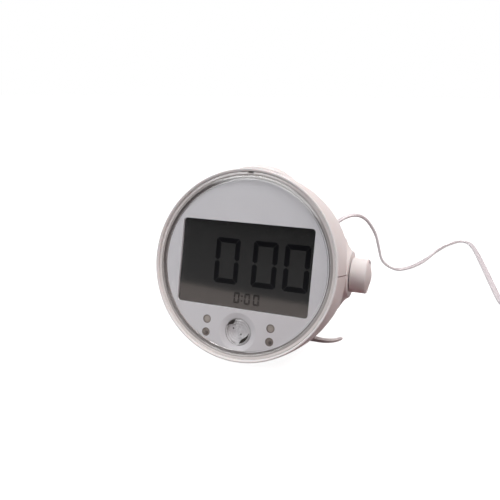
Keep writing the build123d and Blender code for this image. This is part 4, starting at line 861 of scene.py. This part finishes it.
# Roll of the flat lead about its line, in degrees, at distances along it in millimetres
ROLL = [
    (0, 4),
    (13, 8),
    (24, 4),
    (30, -8),
    (36, -27),
    (43, -45),
    (58, -66),
    (75, -79),
    (100, -79),
    (110, -71),
    (118, -56),
    (126, -43),
    (134, -34),
    (147, -12),
    (160, 6),
    (185, 8),
    (205, 30),
    (222, 62),
    (242, 55),
    (262, 12),
    (280, 0),
    (1900, 0),
]


def twin_section():
    """Outline of the flat lead: an oval by powers of cosine and sine, with a bell-shaped groove in it."""
    angle = np.linspace(0, 2 * np.pi, TWIN_STEPS, endpoint=False)
    wide = np.sign(np.cos(angle)) * np.abs(np.cos(angle)) ** WIDE_POWER * LEAD_HALF_WIDTH
    groove = 1 - TWIN_GROOVE * np.exp(-((wide / TWIN_GROOVE_HALF) ** 2))
    thick = np.sign(np.sin(angle)) * np.abs(np.sin(angle)) ** THICK_POWER * LEAD_HALF_THICK * groove
    return wide, thick


lead_line = smooth_line(np.concatenate([np.array(LEAD_ROUTE), coil_points()]))
steps_along = np.linalg.norm(np.diff(lead_line, axis=0), axis=1)
lead_line = lead_line[np.concatenate([[True], steps_along > MERGE / MM])]
along = np.concatenate([[0], np.cumsum(np.linalg.norm(np.diff(lead_line, axis=0), axis=1))])
roll = np.radians(np.interp(along, *np.array(ROLL, float).T))
stands = LEAD_CORNER * np.hypot(LEAD_HALF_WIDTH * np.sin(roll), LEAD_HALF_THICK * np.cos(roll))
lead_line[:, 2] = np.maximum(lead_line[:, 2], stands)
heading = np.gradient(lead_line, axis=0)
heading /= np.linalg.norm(heading, axis=1, keepdims=True)
sideways = np.cross(heading, [0, 0, 1])
sideways /= np.linalg.norm(sideways, axis=1, keepdims=True)
upwards = np.cross(sideways, heading)
wide_way = sideways * np.cos(roll)[:, None] + upwards * np.sin(roll)[:, None]
thick_way = np.cross(wide_way, heading)
wide, thick = twin_section()
lead_grid = (
    lead_line[:, None]
    + wide_way[:, None] * wide[None, :, None]
    + thick_way[:, None] * thick[None, :, None]
) * MM
rows, columns = lead_grid.shape[:2]
end_ring = np.arange(columns)
lead_faces = [*grid_faces(rows, columns, wrap_columns=True), end_ring, end_ring + (rows - 1) * columns]
lead = piece("flat_lead", lead_grid, lead_faces, VINYL, smooth=60)
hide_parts("shaker_lead", "lead_coil")


# Tie round the coil: a strap bent round the turns as a rounded rectangle
STRAP_INNER = 8.6
STRAP_OUTER = 40.4
STRAP_LOW = 0.8
STRAP_TOP = 8.5
STRAP_CORNER = 3.2
STRAP_HALF_WIDTH = 4.5
STRAP_STEPS = 9
STRAP_WALL = 0.7
STRAP_TURN = math.radians(20)


def strap_points():
    """Closed strap: a rounded rectangle round the coil's section, carried across the strap's width."""
    corners = [
        (STRAP_INNER, STRAP_LOW),
        (STRAP_OUTER, STRAP_LOW),
        (STRAP_OUTER, STRAP_TOP),
        (STRAP_INNER, STRAP_TOP),
    ]
    outline = rounded(corners, STRAP_CORNER, STRAP_STEPS)
    across = np.linspace(-STRAP_HALF_WIDTH, STRAP_HALF_WIDTH, STRAP_STEPS)
    out_way = np.array([math.cos(STRAP_TURN), math.sin(STRAP_TURN), 0])
    side_way = np.array([-math.sin(STRAP_TURN), math.cos(STRAP_TURN), 0])
    middle = np.array([*COIL_MIDDLE, 0])
    reach = outline[:, 0][:, None, None] * out_way + outline[:, 1][:, None, None] * np.array([0, 0, 1])
    return (middle + reach + across[None, :, None] * side_way) * MM


strap_grid = strap_points()
strap = piece("lead_strap", strap_grid, grid_faces(*strap_grid.shape[:2], wrap_rows=True), STRAP)
wall = strap.modifiers.new("wall", "SOLIDIFY")
wall.thickness = STRAP_WALL * MM
wall.offset = -1
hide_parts("lead_tie")


# Stage, with sizes in metres: pale floor, soft light and the camera at the photograph's place
FLOOR_HALF = 6.0
FLOOR_PALE = (0.45, 0.45, 0.46, 1)
FLOOR_DARK = (0.12, 0.03, 0.035, 1)
DARK_MIDDLE = (0.1, -0.02, 0.0)
DARK_R = 0.07
DARK_FADE = 0.12
SEEN_GREY = (0.5, 0.5, 0.5, 1)
SEEN_GLOW = 0.94
SOFT_SKY = ((0.0, (0.2, 0.2, 0.2)), (0.3, (0.32, 0.33, 0.34)), (1.0, (0.21, 0.22, 0.23)))
SKY_WAY = (0.9, -0.2, 0.0)
SKY_FADE = 0.6
SKY_RIGHT = (0.26, 0.13, 0.13, 1)
MIRROR_SKY = (
    (0.0, (0.54, 0.47, 0.44)),
    (0.117, (0.54, 0.47, 0.44)),
    (0.126, (0.1, 0.1, 0.1)),
    (0.19, (0.07, 0.07, 0.07)),
    (0.25, (0.015, 0.015, 0.015)),
    (0.6, (0.1, 0.1, 0.1)),
    (0.68, (0.3, 0.3, 0.3)),
    (0.76, (7.0, 7.0, 7.0)),
)


def floor_finish():
    """Floor: bounces a pale tone, or a dark red one in a patch at the right, and looks white itself."""
    finish, nodes, link = new_finish("pale_floor")
    nodes.remove(nodes["Principled BSDF"])
    bounce = nodes.new("ShaderNodeBsdfDiffuse")
    place = nodes.new("ShaderNodeTexCoord")
    away = calculation(nodes, "DISTANCE", "ShaderNodeVectorMath")
    away.inputs[1].default_value = DARK_MIDDLE
    link(place.outputs["Object"], away.inputs[0])
    fade = nodes.new("ShaderNodeMapRange")
    fade.inputs["From Min"].default_value = DARK_R
    fade.inputs["From Max"].default_value = DARK_FADE
    link(away.outputs["Value"], fade.inputs["Value"])
    tone = colour_mix(nodes)
    link(fade.outputs[0], tone.inputs["Factor"])
    tone.inputs["A"].default_value = FLOOR_DARK
    tone.inputs["B"].default_value = FLOOR_PALE
    link(tone.outputs["Result"], bounce.inputs["Color"])
    seen = nodes.new("ShaderNodeBsdfDiffuse")
    seen.inputs["Color"].default_value = SEEN_GREY
    glow = nodes.new("ShaderNodeEmission")
    glow.inputs["Strength"].default_value = SEEN_GLOW
    both = nodes.new("ShaderNodeAddShader")
    link(seen.outputs[0], both.inputs[0])
    link(glow.outputs[0], both.inputs[1])
    path = nodes.new("ShaderNodeLightPath")
    either = calculation(nodes, "MAXIMUM")
    link(path.outputs["Is Camera Ray"], either.inputs[0])
    link(path.outputs["Is Glossy Ray"], either.inputs[1])
    every = calculation(nodes, "MAXIMUM")
    link(either.outputs[0], every.inputs[0])
    link(path.outputs["Is Transmission Ray"], every.inputs[1])
    choice = nodes.new("ShaderNodeMixShader")
    link(every.outputs[0], choice.inputs[0])
    link(bounce.outputs[0], choice.inputs[1])
    link(both.outputs[0], choice.inputs[2])
    link(choice.outputs[0], nodes["Material Output"].inputs["Surface"])
    return finish


floor_points = FLOOR_HALF * np.array([(-1, -1, 0), (1, -1, 0), (1, 1, 0), (-1, 1, 0)])
floor_mesh = bpy.data.meshes.new("floor")
floor_mesh.from_pydata(floor_points.tolist(), [], [(0, 1, 2, 3)])
floor_mesh.materials.append(floor_finish())
floor = bpy.data.objects.new("floor", floor_mesh)
bpy.context.scene.collection.objects.link(floor)


def sky_ramp(nodes, stops):
    """Colour ramp over the height of a direction, from the horizon to straight up."""
    ramp = nodes.new("ShaderNodeValToRGB")
    ramp.color_ramp.elements.remove(ramp.color_ramp.elements[1])
    ramp.color_ramp.elements[0].color = (*stops[0][1], 1)
    for position, colour in stops[1:]:
        stop = ramp.color_ramp.elements.new(position)
        stop.color = (*colour, 1)
    return ramp


def world_light():
    """Surround: soft light all round, a dark room with a bright low band in mirrors, white to the eye."""
    world = bpy.data.worlds.new("studio")
    world.use_nodes = True
    nodes = world.node_tree.nodes
    link = world.node_tree.links.new
    place = nodes.new("ShaderNodeTexCoord")
    parts = nodes.new("ShaderNodeSeparateXYZ")
    link(place.outputs["Generated"], parts.inputs[0])
    soft = sky_ramp(nodes, SOFT_SKY)
    mirror = sky_ramp(nodes, MIRROR_SKY)
    link(parts.outputs["Z"], soft.inputs[0])
    link(parts.outputs["Z"], mirror.inputs[0])
    way = calculation(nodes, "DOT_PRODUCT", "ShaderNodeVectorMath")
    way.inputs[1].default_value = SKY_WAY
    link(place.outputs["Generated"], way.inputs[0])
    right = nodes.new("ShaderNodeMapRange")
    right.inputs["From Min"].default_value = 0.0
    right.inputs["From Max"].default_value = SKY_FADE
    link(way.outputs["Value"], right.inputs["Value"])
    dim = colour_mix(nodes, "MULTIPLY")
    link(right.outputs[0], dim.inputs["Factor"])
    link(soft.outputs[0], dim.inputs["A"])
    dim.inputs["B"].default_value = SKY_RIGHT
    path = nodes.new("ShaderNodeLightPath")
    shine = colour_mix(nodes)
    link(path.outputs["Is Glossy Ray"], shine.inputs["Factor"])
    link(dim.outputs["Result"], shine.inputs["A"])
    link(mirror.outputs[0], shine.inputs["B"])
    pick = colour_mix(nodes)
    link(path.outputs["Is Camera Ray"], pick.inputs["Factor"])
    link(shine.outputs["Result"], pick.inputs["A"])
    pick.inputs["B"].default_value = (1, 1, 1, 1)
    link(pick.outputs["Result"], nodes["Background"].inputs["Color"])
    bpy.context.scene.world = world


world_light()


def lamp(name, place, aim, size, power, colour=(1, 1, 1)):
    """Soft lamp at a place, turned to an aim, of a width along the scene's X and a depth across it."""
    data = bpy.data.lights.new(name, "AREA")
    data.shape = "RECTANGLE"
    data.size, data.size_y = size
    data.energy = power
    data.color = colour
    thing = bpy.data.objects.new(name, data)
    back = (Vector(place) - Vector(aim)).normalized()
    wide = (Vector((1, 0, 0)) - back * back.x).normalized()
    turn = Matrix((wide, back.cross(wide), back)).transposed()
    thing.matrix_world = Matrix.Translation(Vector(place)) @ turn.to_4x4()
    bpy.context.scene.collection.objects.link(thing)


FRONT_AIM = (0, 0, 0.05)
BACK_AIM = (0, 0.03, 0.05)
lamp("key", (0.2, -0.12, 1.05), FRONT_AIM, size=(1.0, 0.2), power=4.3)
lamp("side", (0.62, 0.12, 0.9), BACK_AIM, size=(0.4, 0.4), power=4.3, colour=(1, 0.86, 0.82))
lamp("rear", (-0.25, 0.85, 0.7), BACK_AIM, size=(0.5, 0.5), power=1.7)
lamp("fill", (-0.45, -0.8, 0.75), FRONT_AIM, size=(0.5, 0.5), power=4.0, colour=(0.98, 1, 1))

# Camera: place in metres, its directions, and its lens and sensor in millimetres
CAMERA_PLACE = (0.105585, -0.263184, 0.148416)
CAMERA_RIGHT = (0.933897, 0.357542, 0.0)
CAMERA_DOWN = (0.102197, -0.266939, -0.958279)
CAMERA_AHEAD = (-0.342625, 0.894934, -0.285833)
CAMERA_LENS = 40.01
CAMERA_SENSOR = 36.0
view = bpy.data.cameras.new("view")
view.lens = CAMERA_LENS
view.sensor_width = CAMERA_SENSOR
camera = bpy.data.objects.new("view", view)
turn = Matrix((CAMERA_RIGHT, [-x for x in CAMERA_DOWN], [-x for x in CAMERA_AHEAD])).transposed()
camera.matrix_world = Matrix.Translation(CAMERA_PLACE) @ turn.to_4x4()
bpy.context.scene.collection.objects.link(camera)
bpy.context.scene.camera = camera
bpy.context.scene.view_settings.view_transform = "Standard"
